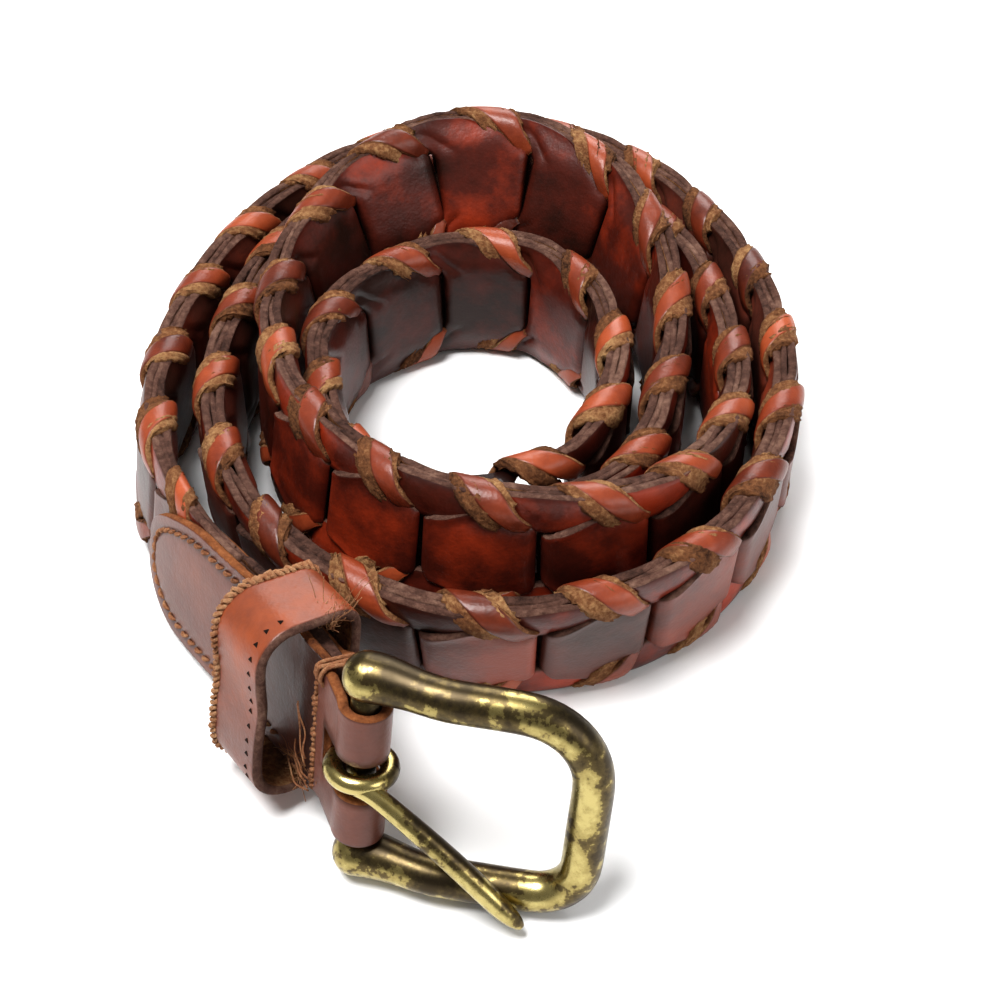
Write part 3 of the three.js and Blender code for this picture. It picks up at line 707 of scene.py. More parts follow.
def inner_panel(sheets, zero, tone, rng):
    """The inner panel: it reaches the edges on its left, where it runs under the next strap."""
    start = GAP_END * PITCH + rng.normal(0, 0.12)
    end = (1 + GAP_START) * PITCH + rng.normal(0, 0.12)
    lip = 7.6 + rng.normal(0, 0.35)
    ridge = max(RIDGE_DROP + rng.normal(0, 0.25), 0.8)
    rows = 27
    t = np.linspace(0, 1, rows)[None, :]
    t = 0.5 - 0.5 * np.cos(math.pi * (0.1 + 0.8 * t)) / math.cos(math.pi * 0.1)
    height = ridge + (BELT_WIDTH - 2 * ridge) * t
    drop = np.minimum(height, BELT_WIDTH - height)
    up = np.clip((lip - drop) / (lip - ridge), 0, 1)
    low = start + (0.66 * PITCH - start) * up ** 1.15
    high = end + (1.42 * PITCH - end) * smooth(np.clip((9.2 - drop) / (9.2 - ridge), 0, 1)) ** 0.9
    columns = 22
    share = np.linspace(1, 0, columns)[:, None]
    along = low + (high - low) * share
    turned = 1.5
    from_low = along - start
    tuck = smooth((drop - 6.5) / 2)
    deep = np.full_like(along, -PANEL_DEPTH - rng.normal(0, 0.12))
    deep = deep + tuck * (turned_in(from_low, turned) + turned_in(end - along, turned))
    deep = deep + (PANEL_DEPTH - 1.15) * (1 - smooth((drop - ridge) / 6.5)) * smooth((from_low - 3) / 7)
    press = sum(strap_press(-along, drop, strap) for strap in (0, -1, -2))
    deep = deep + 0.9 * press * smooth((drop - 1.5) / 3)
    flare = 0.3 * smooth((1.8 - (along - low)) / 1.8) * up
    deep = deep - flare
    run = zero + along
    points = belt_points(run, height, deep * pressed(run), (zero + start, zero + end), 0.6)
    sheets.sheet(points, PANEL_THICKNESS, tone, rag=0.05, rng=rng)


def lens_strip(sheets, zero, side, tone, rng):
    """The outer strip between two straps, with its cut edge up."""
    columns = np.linspace(-0.45, 0.62, 17)[:, None] * PITCH
    ridge = max(RIDGE_DROP - 0.2 + rng.normal(0, 0.25), 0.7)
    bottom = 1.6 + 7.2 * smooth((columns + 0.45 * PITCH) / (0.5 * PITCH))
    sway = 0.4 * np.sin(math.pi * np.clip((columns / PITCH + 0.3) / 0.7, 0, 1))
    top = ridge - sway
    t = np.linspace(0, 1, 7)[None, :]
    if side > 0:
        t = t[:, ::-1]
    drop = top + (bottom - top) * t
    roll = rng.uniform(-0.1, 0.5)
    deep = 1.2 + 0.9 * np.sin(math.pi * np.clip(drop / 9, 0, 1)) * smooth((columns + 0.4 * PITCH) / 5)
    deep = deep + roll * (1 - smooth(drop / 4)) * smooth(columns / PITCH / 0.4 + 0.3)
    deep = deep - 0.5 * strap_press(columns, drop, 0) - 0.5 * strap_press(columns, drop, 1)
    run = zero + columns
    points = belt_points(run, link_height(drop, side), deep * pressed(run))
    sheets.sheet(points, PANEL_THICKNESS, tone, rag=0.07, rng=rng)


def core_strip(sheets, zero, side, tone, rng):
    """The rough core that shows between the outer strip and the inner panel."""
    columns = np.linspace(-0.42, 0.6, 16)[:, None] * PITCH
    sway = 0.35 * np.sin(math.pi * np.clip((columns / PITCH + 0.3) / 0.7, 0, 1))
    top = RIDGE_DROP + 0.15 - sway + rng.normal(0, 0.15)
    t = np.linspace(0, 1, 5)[None, :]
    if side > 0:
        t = t[:, ::-1]
    drop = top + 4.5 * t
    phase = rng.uniform(0, math.tau)
    deep = 0.12 + 0.3 * np.sin(columns / PITCH * 7 + phase)
    run = zero + columns
    points = belt_points(run, link_height(drop, side), deep * pressed(run))
    sheets.sheet(points, 1.3, tone, rag=0.12, rng=rng)


def strap_ribbon(sheets, zero, side, tone, rng, lead, reach, advance, width, thickness, lower,
                 kinds, taper, tuck, rag, rough=0.0, steps=23, across_steps=7):
    """A band round the edge of the belt. lead: its place along the belt where it crosses the edge.
    reach: lengths round the edge that it starts and ends at. lower: how far under the straps."""
    q = np.linspace(0, 1, steps)
    around = reach[0] + (reach[1] - reach[0]) * q
    along = lead + advance * around / STRAP_SPAN
    slope = np.array([advance, STRAP_SPAN])
    slope = slope / np.linalg.norm(slope)
    side_way = np.array([slope[1], -slope[0]])
    near_end = (1 - q) * abs(reach[1] - reach[0])
    near_start = q * abs(reach[1] - reach[0])

    def half_width(to_point, to_root):
        narrowed = np.minimum(1, 0.12 + (to_point / (taper * 1.6)) ** 0.8)
        return width / 2 * narrowed * np.minimum(1, 0.25 + to_root / taper * 2)

    plus = half_width(near_end, near_start)
    minus = half_width(near_start, near_end)
    t = np.linspace(-1, 1, across_steps)[None, :]
    offset = np.where(t > 0, t * plus[:, None], t * minus[:, None])
    u = along[:, None] + side_way[0] * offset
    a = around[:, None] + side_way[1] * offset
    drop, deep = over_edge(a, STRAP_RADIUS - lower, STRAP_TOP + lower)
    crown = 0.25 * (1 - t ** 2)
    dive = tuck * (smooth(1 - near_end / 3.2) + smooth(1 - near_start / 3.2))[:, None]
    deep = deep * (1 + (crown - dive) / STRAP_RADIUS)
    order = slice(None) if side > 0 else slice(None, None, -1)
    run = zero + u
    points = belt_points(run, link_height(drop, side), deep * pressed(run))[:, order]
    front, edge, back = kinds
    sheets.sheet(points, thickness, tone, rag=rag, rng=rng, front=front, edge=edge, back=back, bevel=0.4,
                 rough=rough)


def wrapped_strap(sheets, zero, side, tone, rng):
    reach = (-STRAP_SPAN - rng.uniform(-0.4, 0.4), STRAP_SPAN + rng.uniform(-0.4, 0.4))
    lead = STRAP_MIDDLE * PITCH + rng.normal(0, 0.35)
    width = STRAP_WIDTH * rng.uniform(0.92, 1.06)
    strap_ribbon(sheets, zero, side, tone, rng, lead, reach, STRAP_ADVANCE + rng.normal(0, 0.6), width,
                 STRAP_THICKNESS, 0.0, (SKIN, EDGE, SUEDE), 4.0, 1.3, 0.08)


def torn_band(sheets, zero, side, face, tone, rng):
    """The rough band that shows beside a strap. face: 1 on the outer face, -1 on the inner face."""
    lead = STRAP_MIDDLE * PITCH - face * (2.8 + rng.uniform(0, 1.1))
    reach = sorted((face * -3.6, face * (8.4 + rng.uniform(-0.6, 0.6))))
    width = rng.uniform(3.5, 4.7) if face > 0 else rng.uniform(2.8, 3.8)
    strap_ribbon(sheets, zero, side, tone, rng, lead, reach, STRAP_ADVANCE - 1.4, width, 1.6, 0.25,
                 (SUEDE, SUEDE, SUEDE), 3.0, 0.9, 0.2, 0.16, 27, 9)


def tone_near(rng, middle, spread):
    """A random tone, from 0 for the darkest leather to 1 for the brightest."""
    return float(np.clip(rng.normal(middle, spread), 0, 1))


def braid_pieces():
    """Every link, its parts collected into four pieces for each of the belt's two solids."""
    rng = np.random.default_rng(SEED)
    turns = {key: [Sheets() for _ in range(4)] for key in ("outer", "inner")}
    last_run = SEWN_START + BRAID_UNDER_TAB
    for link in range(PITCH_COUNT + 1):
        zero = TAIL_RUN + (link + LINK_ZERO) * PITCH
        if zero + 0.6 * PITCH > last_run + PITCH:
            continue
        key = "outer" if link + LINK_ZERO > SPLIT_PITCH else "inner"
        panels, straps, strips, bands = turns[key]
        outer_panel(panels, zero, tone_near(rng, 0.38, 0.18), rng)
        inner_panel(panels, zero, tone_near(rng, 0.35, 0.2), rng)
        for side in (1, -1):
            lens_strip(strips, zero, side, tone_near(rng, 0.5, 0.15), rng)
            core_strip(strips, zero, side, rng.uniform(0.2, 0.8), rng)
            wrapped_strap(straps, zero, side, tone_near(rng, 0.5, 0.2), rng)
            for face in (1, -1):
                torn_band(bands, zero, side, face, rng.uniform(0.2, 0.9), rng)
    for key, parts in turns.items():
        # The outer turn's panels take the copy with painted sheen, the inner turns the darker link leather
        looks = (
            ("panels", SHEEN_LINK_SKIN if key == "outer" else LINK_SKIN, CUT_EDGE, [f"braid_{key}_turns"]),
            ("straps", STRAP_SKIN, TORN_SIDE, []),
            ("strips", LINK_SKIN, CUT_EDGE, []),
            ("torn_bands", LINK_SKIN, CUT_EDGE, []),
        )
        for sheets, (part, skin, edge, replaced) in zip(parts, looks):
            sheets.make(f"link_{part}_{key}", [skin, edge, TORN_SIDE], "belt", "braid_leather", replaced)


braid_pieces()


TIP_WIDTH = 24.0
TIP_LENGTH = 36.0
TIP_THICKNESS = 3.6
TIP_TAPER = 0.3


def tip():
    """The plain leather tip that the braid ends in, with a round end."""
    start = TAIL_RUN - CLEARANCE
    straight = np.linspace(0, TIP_LENGTH - TIP_WIDTH / 2, 10)
    angles = np.linspace(0, math.pi / 2 * 0.94, 12)[1:]
    run = start - np.concatenate([straight, straight[-1] + TIP_WIDTH / 2 * np.sin(angles)])
    half = TIP_WIDTH / 2 * np.concatenate([np.ones(len(straight)), np.cos(angles)])
    taper = smooth((start - run) / TIP_LENGTH)
    half = half * (1 - TIP_TAPER * taper)
    middle = BELT_WIDTH / 2 - TIP_WIDTH / 2 * TIP_TAPER * taper
    shares = np.linspace(-1, 1, 9)
    height = middle[::-1, None] + half[::-1, None] * shares
    sheets = Sheets()
    sheets.sheet(belt_points(run[::-1, None], height, 0.0), TIP_THICKNESS, 0.4, bevel=0.6)
    sheets.make("tip_leather_end", [TIP_SKIN, TIP_SKIN, TIP_SKIN], "belt", "end_leather", ["belt_tip"])


tip()


# The sewn end, its stitches and the keeper

def end_width(run):
    ease = smooth((BAR_RUN - run) / KEEPER_FROM_BAR)
    return WRAP_WIDTH + (END_WIDTH - WRAP_WIDTH) * ease


TONGUE_START = SEWN_START - 2.4
TONGUE_LENGTH = 22.0
TONGUE_DROP = 2.6
STITCH_INSET = 3.0
STITCH_PITCH = 2.6
STITCH_LENGTH = 2.5
FLAP_FROM_BAR = 10.8
BACK_PLY_SET_IN = 5.0
SLOT_EASE = 0.7


def tab_depth(run):
    """Depth of the front ply's middle: it dips under the flap of the wrap."""
    return STACK_HALF - 0.9 * smooth((run - BAR_RUN + 16) / 7)


def tongue_outline(inset, steps):
    """Runs and half widths round the tongue, at a distance inside its edge."""
    angles = np.linspace(0.1, math.pi / 2, steps)
    run = TONGUE_START + inset + (TONGUE_LENGTH - inset * 0.7) * (1 - np.cos(angles))
    return run, (END_WIDTH / 2 - inset) * np.sin(angles) ** 0.78


def tongue_middle(run):
    """Height of the tab's middle, from the belt's middle: the tongue hangs a little."""
    return -TONGUE_DROP * smooth(1 - (run - TONGUE_START) / TONGUE_LENGTH)


def stitch_places():
    """Run and height, from the belt's middle, along the row of stitches round the tongue."""
    run, height = tongue_outline(STITCH_INSET, 40)
    straight = np.linspace(run[-1], BAR_RUN - KEEPER_FROM_BAR, 20)[1:]
    run = np.concatenate([run, straight])
    height = np.concatenate([height, end_width(straight) / 2 - STITCH_INSET])
    middle = tongue_middle(run)
    upper = np.stack([run, middle + height], 1)
    lower = np.stack([run, middle - height], 1)
    return np.concatenate([upper[::-1], lower])


def tab():
    tongue_run, tongue_half = tongue_outline(0.0, 26)
    straight = np.linspace(tongue_run[-1], BAR_RUN - 9, 58)[1:]
    run = np.concatenate([tongue_run, straight])[:, None]
    half = np.concatenate([tongue_half, end_width(straight) / 2])[:, None]
    crowding = math.pi / 2 * 0.85
    height = half * np.sin(np.linspace(-1, 1, 41) * crowding)[None, :] / math.sin(crowding)
    run = np.broadcast_to(run, height.shape)
    line, _ = evenly(stitch_places(), 0.7)
    middle = tongue_middle(run)
    spots = np.stack([run, middle + height], -1)
    away = np.linalg.norm(spots[:, :, None] - line, axis=-1).min(axis=2)
    groove = np.exp(-(away / 0.9) ** 2)
    inside = np.clip(half - STITCH_INSET - np.abs(height), 0, 6) / 6
    depth = tab_depth(run) + 0.3 * smooth(inside) - 0.3 * groove
    # Painted shadow: from the keeper towards the flap the tab gets a lower tone and full darkening, the
    # keeper's shade painted in; the stitch groove is also darkened
    shaded = smooth((run - BAR_RUN + KEEPER_FROM_BAR - 4) / 6)
    sheets = Sheets()
    points = belt_points(run, BELT_WIDTH / 2 + middle + height, depth)
    sheets.sheet(points, PLY_THICKNESS, 0.5 - 0.45 * shaded, bevel=0.5, worn_and_shaded=np.maximum(0.8 * groove, shaded))
    sheets.make("tab_leather_ply", [TAB_SKIN, TAN_EDGE, TORN_SIDE], "belt", "end_leather", ["sewn_end"])


def wrap():
    """The leather folded round the bar: its flap lies on the tab, its back ply runs to a tongue."""
    slot_run = BAR_RUN - EYE_RADIUS - PRONG_WIRE - SLOT_END_ROOM
    flap = zip(np.linspace(BAR_RUN - FLAP_FROM_BAR, slot_run, 6), np.linspace(0.25, 0, 6))
    path = [(run, STACK_HALF + rise, 0.0, WRAP_WIDTH / 2) for run, rise in flap]
    slot_start = len(path) - 1
    for angle in np.linspace(math.pi * 0.62, -math.pi * 0.62, 31):
        run = BAR_RUN + WRAP_RADIUS * math.cos(angle)
        path.append((run, WRAP_RADIUS * math.sin(angle), 0.0, WRAP_WIDTH / 2))
    slot_end = len(path)
    tongue_run, tongue_half = tongue_outline(0.0, 14)
    for run in np.linspace(slot_run, tongue_run[-1], 26):
        set_in = BACK_PLY_SET_IN * smooth((BAR_RUN - 8 - run) / 10)
        path.append((run, -STACK_HALF, -set_in / 2, (end_width(run) - set_in) / 2))
    for run, half in zip(tongue_run[-2::-1], tongue_half[-2::-1]):
        path.append((run, -STACK_HALF, -BACK_PLY_SET_IN / 2, half * (1 - BACK_PLY_SET_IN / END_WIDTH)))
    path = np.array(path)
    slot = (SLOT_HEIGHT + SLOT_EASE) / WRAP_WIDTH
    shares = np.array([-1, -0.93, -0.8, -0.6, -0.4, -slot, slot, 0.4, 0.6, 0.8, 0.93, 1])
    height = BELT_WIDTH / 2 + path[:, 2][:, None] + path[:, 3][:, None] * shares
    points = belt_points(path[:, 0][:, None], height, path[:, 1][:, None])
    sheets = Sheets()
    sheets.sheet(points, PLY_THICKNESS, 0.45, hole=(slot_start, slot_end, 5, 6), bevel=0.5)
    sheets.make("wrap_leather_ply", [TAB_SKIN, TAN_EDGE, TORN_SIDE], "belt", "end_leather")


def end_filler():
    """The braid's pressed end between the two plies."""
    run = np.linspace(SEWN_START + 10, HEAD_RUN - 1, 24)[:, None]
    shares = np.linspace(-1, 1, 7)
    height = BELT_WIDTH / 2 + (end_width(run) / 2 - 2.4) * shares
    filler = Sheets()
    filler.sheet(belt_points(run, height, 0.0), FILLER_THICKNESS - 0.2, 0.3)
    filler.make("sewn_end_filler", [LINK_SKIN, CUT_EDGE, TORN_SIDE], "belt", "end_leather")


def wandering(start, finish, sway, rng):
    """A loose line from start to finish that strays by sway, in the units of its points."""
    t = np.linspace(0, 1, 14)[:, None]
    line = np.asarray(start, float) * (1 - t) + np.asarray(finish, float) * t
    for wave in (1, 2, 3):
        push = rng.normal(0, sway / wave, 3)
        line = line + np.sin(math.pi * wave * t) * push
    return line


def threads():
    """The row of stitches, the flap's frayed end and stitches, and the loose threads and hairs."""
    rng = np.random.default_rng(SEED + 1)
    surface = PLY_THICKNESS / 2
    sheets = Sheets()
    places, _ = evenly(stitch_places(), STITCH_PITCH)
    for here, after in zip(places, places[1:]):
        way = unit(after - here)
        turn = math.radians(16 + rng.normal(0, 4))
        way = np.array([way[0] * math.cos(turn) - way[1] * math.sin(turn),
                        way[0] * math.sin(turn) + way[1] * math.cos(turn)])
        t = np.linspace(-0.5, 0.5, 7)
        spots = (here + after) / 2 + t[:, None] * way * STITCH_LENGTH
        rise = 0.28 - 2.2 * t ** 2
        points = belt_points(spots[:, 0], BELT_WIDTH / 2 + spots[:, 1], STACK_HALF + surface - 0.1 + rise)
        sheets.tube(points, 0.44 - 1.1 * t ** 2, 8, rng.uniform(0.3, 0.9))
    heights = np.linspace(1.5, WRAP_WIDTH + 0.5, 40)
    flap_run = BAR_RUN - FLAP_FROM_BAR - 0.2 + rng.normal(0, 0.12, len(heights))
    sheets.cord(belt_points(flap_run, heights, STACK_HALF + surface - 0.2), 0.5, 0.42, 2.3, rng, 0.3)
    top = BELT_WIDTH / 2 + WRAP_WIDTH / 2
    for offset in (0.0, 1.0, 2.0):
        height = [top - 3.2, top - 1.6, top + 0.2, top + 0.75, top + 0.75, top + 0.1, top - 2]
        depth = [STACK_HALF + 0.9, STACK_HALF + 1.6, STACK_HALF + 1.45, STACK_HALF + 0.4, -1.5, -3.2, -4.2]
        run = BAR_RUN - FLAP_FROM_BAR + offset + np.linspace(0, 1.2, 7) + rng.normal(0, 0.15, 7)
        line, _ = evenly(belt_points(run, np.array(height), np.array(depth)), 0.5 * MM)
        sheets.tube(line, 0.4, 8, rng.uniform(0.3, 0.7))
    sheets.make("end_stitches", [THREAD], "belt", "end_leather")

    loose = Sheets()
    face = STACK_HALF + surface
    run = BAR_RUN - FLAP_FROM_BAR
    ties = [((-5.5, 16.5, 0.9), (-0.5, 6.5, 1.4)), ((-5.0, 17.5, 1.1), (-0.3, 8.5, 1.5)),
            ((-7.5, 3.2, 0.5), (0.5, 2.4, 1.3)), ((-8.0, 2.4, 0.9), (0.3, 1.4, 0.9)),
            ((-6.0, 8.0, 0.6), (0.1, 4.0, 1.0)), ((-7.0, 1.4, 0.7), (-0.4, 3.2, 1.2))]
    for start, finish in ties:
        line = wandering(start, finish, 0.5, rng)
        points = belt_points(run + line[:, 0], line[:, 1], face + line[:, 2])
        loose.tube(points, 0.17, 6, rng.uniform(0.3, 0.8))
    for _ in range(34):
        root = np.array([rng.uniform(-8, -1), rng.uniform(0.5, 5), rng.uniform(0.1, 0.8)])
        finish = root + rng.normal(0, 2.4, 3) * (1, 1, 0.5) + (0, 0, 0.9)
        line = wandering(root, finish, 0.3, rng)
        points = belt_points(run + line[:, 0], line[:, 1], face + np.maximum(line[:, 2], 0.1))
        loose.tube(points, 0.055, 4, rng.uniform(0.7, 1))
    tuft_run = BAR_RUN - KEEPER_FROM_BAR + 6
    for n in range(90):
        root = np.array([rng.uniform(-1.6, 1.6), BELT_WIDTH + rng.uniform(0, 1), rng.uniform(-2.5, 0)])
        long_hair = 1.5 if n % 6 == 0 else 0.7
        finish = root + np.array([rng.normal(0.8, 1.8), rng.normal(4, 1), rng.normal(-1.5, 1.6)]) * long_hair
        line = wandering(root, finish, 0.3, rng)
        points = belt_points(tuft_run + line[:, 0], line[:, 1], line[:, 2])
        loose.tube(points, 0.06, 4, rng.uniform(0.6, 1))
    loose.make("loose_threads", [THREAD], "belt", "end_leather")


tab()
wrap()
end_filler()
threads()


def rounded_loop(left, bottom, right, top, near, far, step):
    """Points round a rectangle, anticlockwise. near: the bend at its left, far: at its right."""
    corners = [(right - far, bottom + far, far, -90), (right - far, top - far, far, 0),
               (left + near, top - near, near, 90), (left + near, bottom + near, near, 180)]
    points = []
    for x, y, bend, start in corners:
        for angle in np.radians(np.linspace(start, start + 90, 12)):
            points.append((x + bend * math.cos(angle), y + bend * math.sin(angle)))
    return evenly(np.array(points + points[:1]), step)[0][:-1]


def keeper_axes():
    run = BAR_RUN - KEEPER_FROM_BAR
    centre = belt_points(run, BELT_WIDTH / 2, 0.0) / MM
    ahead = belt_points(run + KEEPER_LENGTH / 2, BELT_WIDTH / 2, 0.0) / MM
    behind = belt_points(run - KEEPER_LENGTH / 2, BELT_WIDTH / 2, 0.0) / MM
    forward = unit(ahead - behind)
    upward = belt_points(run, BELT_WIDTH / 2 + 1, 0.0) / MM - centre
    upward = unit(upward - forward * (upward @ forward))
    outward = np.cross(forward, upward)
    return centre, forward, upward, outward


KEEPER_CENTRE, KEEPER_FORWARD, KEEPER_UP, KEEPER_OUT = keeper_axes()


def keeper_points(along, height, depth):
    along, height, depth = np.broadcast_arrays(along, height, depth)
    points = (KEEPER_CENTRE + along[..., None] * KEEPER_FORWARD + height[..., None] * KEEPER_UP
              + depth[..., None] * KEEPER_OUT)
    return points * MM


LACE_WIRE = 0.5
LACE_LAY = 0.55
LACE_PITCH = 2.6
SLIT_COUNT = 13
KEEPER_DENT = 0.7
# The band is cut back this much on the tongue's side, where the lacing runs
BAND_CUT_BACK = 1.8


def keeper_line(proud, step):
    """Depth and height round the keeper's middle surface, moved outwards by proud."""
    back = -(STACK_HALF + PLY_THICKNESS / 2 + KEEPER_SLACK)
    front = STACK_HALF + PLY_THICKNESS / 2 + CLEARANCE + KEEPER_ROOM
    half_height = END_WIDTH / 2 + KEEPER_SLACK
    out = KEEPER_WALL / 2 + proud
    loop = rounded_loop(back - out, -half_height - out, front + out, half_height + out,
                        KEEPER_BACK_BEND + out, KEEPER_FRONT_BEND + out, step)
    dent = KEEPER_DENT * np.exp(-((loop[:, 1] - 2) / 5) ** 2) * smooth(loop[:, 0] / front)
    loop[:, 0] -= dent
    return loop


def keeper():
    rng = np.random.default_rng(SEED + 2)
    half_length = KEEPER_LENGTH / 2
    loop = keeper_line(0.0, 1.0)
    depth = loop[:, 0][:, None]
    height = loop[:, 1][:, None]
    along = np.linspace(half_length, BAND_CUT_BACK - half_length, 15)[None, :]
    high = smooth((height - 6) / 8)
    low = smooth((-height - 4) / 10)
    sheets = Sheets()
    sheets.sheet(keeper_points(along, height, depth), KEEPER_WALL - 0.1, 0.42 + 0.3 * high + 0.06 * low,
                 closed=True, bevel=0.55)
    sheets.make("keeper_band", [KEEPER_SKIN, CUT_EDGE, TORN_SIDE], "belt", "keeper_leather", ["keeper_loop"])

    lace = Sheets()
    loop = keeper_line(KEEPER_WALL / 2 - 0.25, 0.5)
    whole = np.concatenate([loop, loop[:1]])
    lace_along = BAND_CUT_BACK - half_length - 0.15 + 0.12 * np.sin(np.arange(len(whole)) * 0.9)
    lace.cord(keeper_points(lace_along, whole[:, 1], whole[:, 0]), LACE_LAY, LACE_WIRE, LACE_PITCH, rng, 0.2)
    lace.make("keeper_lacing", [THREAD], "belt", "keeper_leather")

    # Painted shade: thin near-black sheets on the keeper's front stand for the shadowed openings of the
    # slits; the band itself has no holes
    slits = Sheets()
    outside = keeper_line(KEEPER_WALL / 2 - 0.02, 0.4)
    on_front = outside[(outside[:, 0] > 5) & (outside[:, 1] > -END_WIDTH / 2)]
    for n in range(SLIT_COUNT):
        place = round((n + 0.5 + rng.normal(0, 0.08)) / SLIT_COUNT * (len(on_front) - 5)) + 2
        rows = on_front[place - 1:place + 2]
        reach = np.array([0.75, 0.45, 0.12])[:, None]
        spread = half_length - 2.8 + rng.normal(0, 0.1) + reach * np.array([0.6, 0.0, -0.8])[None, :]
        slits.sheet(keeper_points(spread, rows[:, 1][:, None], rows[:, 0][:, None]), 0.12, 0.2, bevel=0.0)
    slits.make("keeper_slit_shade", [SLIT_SHADE, SLIT_SHADE, SLIT_SHADE], "belt", "keeper_leather")


keeper()


# The brass buckle

def swept(name, points, radii, sides, body, replaced=(), caps=True, bright=0.5):
    """A round bar along points in metres, with its ends closed. bright: how much of it is rubbed bright.
    The side that looks along the buckle's arms is painted darker and rougher as shade, the opposite side
    keeps the full tone as a painted highlight."""
    points = np.asarray(points)
    forward = unit(np.gradient(points, axis=0))
    rings = []
    tones = []
    normal = unit(np.cross(forward[0], FRAME_OUT + 0.01))
    for point, way, radius in zip(points, forward, radii):
        normal = unit(normal - way * (normal @ way))
        side = np.cross(way, normal)
        angles = np.arange(sides) / sides * math.tau
        outwards = np.cos(angles)[:, None] * normal + np.sin(angles)[:, None] * side
        rings.append(point + outwards * radius * MM)
        # Painted shade and highlight: the tone drops on the side that looks along the arms
        tones.append(bright - 0.45 * smooth(outwards @ FRAME_ALONG + 0.15))
    vertices = np.concatenate(rings)
    faces = []
    for i in range(len(rings) - 1):
        for k in range(sides):
            a = i * sides + k
            b = i * sides + (k + 1) % sides
            faces.append((a, b, b + sides, a + sides))
    if caps:
        last = (len(rings) - 1) * sides
        faces.append(tuple(range(sides))[::-1])
        faces.append(tuple(last + k for k in range(sides)))
    mesh = bpy.data.meshes.new(name)
    mesh.from_pydata(vertices.tolist(), [], faces)
    mesh.polygons.foreach_set("use_smooth", np.ones(len(faces), bool))
    write_values(mesh, "tone", tones)
    mesh.materials.append(BRASS)
    finish_piece(name, mesh, body, replaced)


def frame_outline(steps):
    """Centre line of the frame in its own plane, from the upper knuckle to the lower knuckle."""
    half = FRAME_HEIGHT / 2
    outline = [(x, half) for x in np.linspace(0, FRAME_REACH - WIDE_CORNER, steps)]
    for angle in np.linspace(math.pi / 2, 0, steps)[1:]:
        outline.append((FRAME_REACH - WIDE_CORNER + WIDE_CORNER * math.cos(angle),
                        half - WIDE_CORNER + WIDE_CORNER * math.sin(angle)))
    low = -half + TIGHT_CORNER
    for up in np.linspace(half - WIDE_CORNER, low, steps)[1:]:
        outline.append((FRAME_REACH, up))
    for angle in np.linspace(0, -math.pi / 2, steps)[1:]:
        outline.append((FRAME_REACH - TIGHT_CORNER + TIGHT_CORNER * math.cos(angle),
                        low + TIGHT_CORNER * math.sin(angle)))
    for x in np.linspace(FRAME_REACH - TIGHT_CORNER, 0, steps)[1:]:
        outline.append((x, -half))
    return np.array(outline)


def buckle_frame():
    outline = frame_outline(16)
    for _ in range(4):
        middle = (outline[:-2] + outline[1:-1] * 2 + outline[2:]) / 4
        outline = np.concatenate([outline[:1], middle, outline[-1:]])
    along, up = outline[:, 0], outline[:, 1]
    out = FRAME_BOW * smooth(along / (FRAME_REACH * 0.4))
    radii = KNUCKLE_WIRE + (FRAME_WIRE - KNUCKLE_WIRE) * smooth(along / (FRAME_REACH * 0.25))
    angles = np.radians(np.linspace(88, 15, 6))
    ends = [(-KNUCKLE_WIRE * 0.95 * math.sin(a), KNUCKLE_WIRE * math.cos(a)) for a in angles]
    head = [(x, up[0], 0.0) for x, _ in ends]
    tail = [(x, up[-1], 0.0) for x, _ in ends][::-1]
    line = head + list(zip(along, up, out)) + tail
    sizes = [r for _, r in ends] + list(radii) + [r for _, r in ends][::-1]
    line = np.array(line)
    swept("buckle_frame_wire", in_frame(*line.T), sizes, 28, "frame", ["buckle_frame"])
    half = FRAME_HEIGHT / 2
    bar = in_frame(np.zeros(5), np.linspace(-half, half, 5), np.zeros(5))
    swept("buckle_bar", bar, [BAR_RADIUS] * 5, 20, "frame")


buckle_frame()


def prong():
    rows = np.array([
        (-0.04, 0, 0.5, 1), (0.08, 0.04, 0.54, 1.02), (0.2, 0.14, 0.62, 1.05), (0.36, 0.28, 0.74, 1.1),
        (0.54, 0.46, 0.84, 1.15), (0.72, 0.66, 0.92, 1.18), (0.88, 0.86, 0.98, 1.1), (0.97, 0.96, 1, 0.8),
        (1, 1, 1, 0.4),
    ])
    rest_out = FRAME_BOW + FRAME_WIRE + PRONG_WIRE * 1.2 + CLEARANCE
    t = np.linspace(0, len(rows) - 1, 50)
    knots = np.arange(len(rows))
    fine = np.stack([np.interp(t, knots, rows[:, k]) for k in range(4)], 1)
    for _ in range(12):
        fine[1:-1] = (fine[:-2] + fine[1:-1] * 2 + fine[2:]) / 4
    shank = in_frame(fine[:, 0] * PRONG_REACH, -fine[:, 1] * PRONG_DROP, fine[:, 2] * rest_out)
    swept("prong_shank", shank, fine[:, 3] * PRONG_WIRE, 20, "prong", ["buckle_prong"], bright=0.85)
    turn = np.linspace(0, math.tau, 49)
    ring = in_frame(EYE_RADIUS * np.cos(turn), 0 * turn, EYE_RADIUS * np.sin(turn))
    swept("prong_eye", ring, [PRONG_WIRE] * len(turn), 20, "prong", caps=False, bright=0.85)


prong()


# The stage

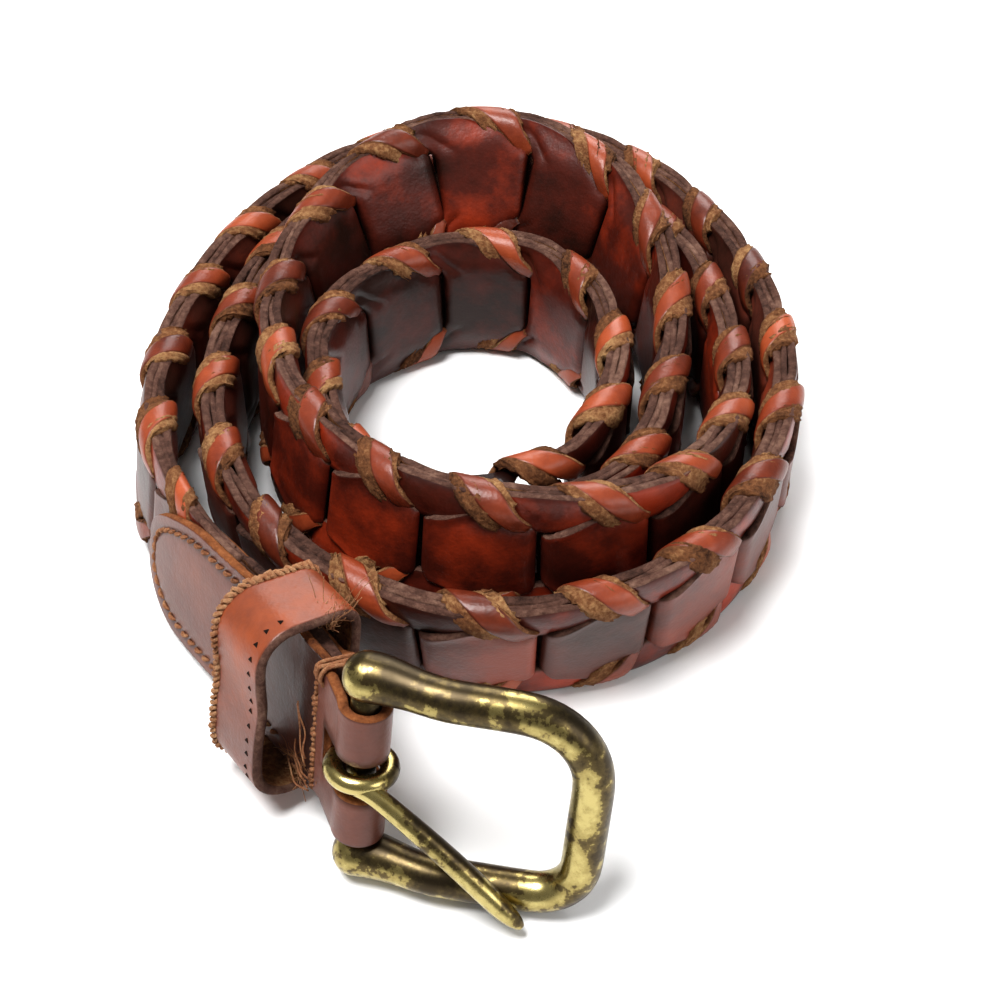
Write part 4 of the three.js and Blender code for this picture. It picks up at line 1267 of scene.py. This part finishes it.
# What the lights look at, in metres
LIT_POINT = Vector((0, 0, 0.02))


def stage():
    """A white floor, a pale surround and three soft lights."""
    mesh = bpy.data.meshes.new("floor")
    reach = 3.0
    corners = [(-reach, -reach, 0), (reach, -reach, 0), (reach, reach, 0), (-reach, reach, 0)]
    mesh.from_pydata(corners, [], [(0, 1, 2, 3)])
    floor = new_object("floor", mesh)
    material, _, shader = node_material("floor_white")
    shader.inputs["Base Color"].default_value = (0.9, 0.9, 0.9, 1)
    shader.inputs["Roughness"].default_value = 0.6
    mesh.materials.append(material)

    world = bpy.data.worlds.new("studio")
    world.use_nodes = True
    world.node_tree.nodes["Background"].inputs["Color"].default_value = (1.0, 0.99, 0.97, 1)
    world.node_tree.nodes["Background"].inputs["Strength"].default_value = 0.29
    bpy.context.scene.world = world

    def area(name, place, size, power):
        light = bpy.data.lights.new(name, "AREA")
        light.shape = "DISK"
        light.size = size
        light.energy = power
        lamp = new_object(name, light)
        lamp.location = place
        lamp.rotation_mode = "QUATERNION"
        lamp.rotation_quaternion = (LIT_POINT - Vector(place)).to_track_quat("-Z", "Y")

    area("key_light", (-0.25, -0.1, 0.95), 0.45, 12.5)
    area("fill_light", (0.8, -0.5, 0.55), 0.6, 3.2)
    area("back_light", (0.15, 0.85, 0.6), 0.6, 5.0)


stage()


def camera():
    """The photograph's view: 47 degrees above the table, from the buckle's side."""
    look = np.array([5.0, -26.0, 0.0])
    distance = 371.13
    tilt = math.radians(47)
    away = np.array([0, math.cos(tilt), -math.sin(tilt)])
    data = bpy.data.cameras.new("photo_camera")
    data.sensor_width = 36
    data.lens = 64.8
    data.clip_start = 0.01
    eye = new_object("photo_camera", data)
    eye.location = Vector((look - away * distance + SHIFT) * MM)
    eye.rotation_mode = "QUATERNION"
    eye.rotation_quaternion = Vector(away).to_track_quat("-Z", "Y")
    bpy.context.scene.camera = eye
    bpy.context.scene.view_settings.view_transform = "Standard"
    bpy.context.scene.view_settings.look = "Medium High Contrast"


camera()
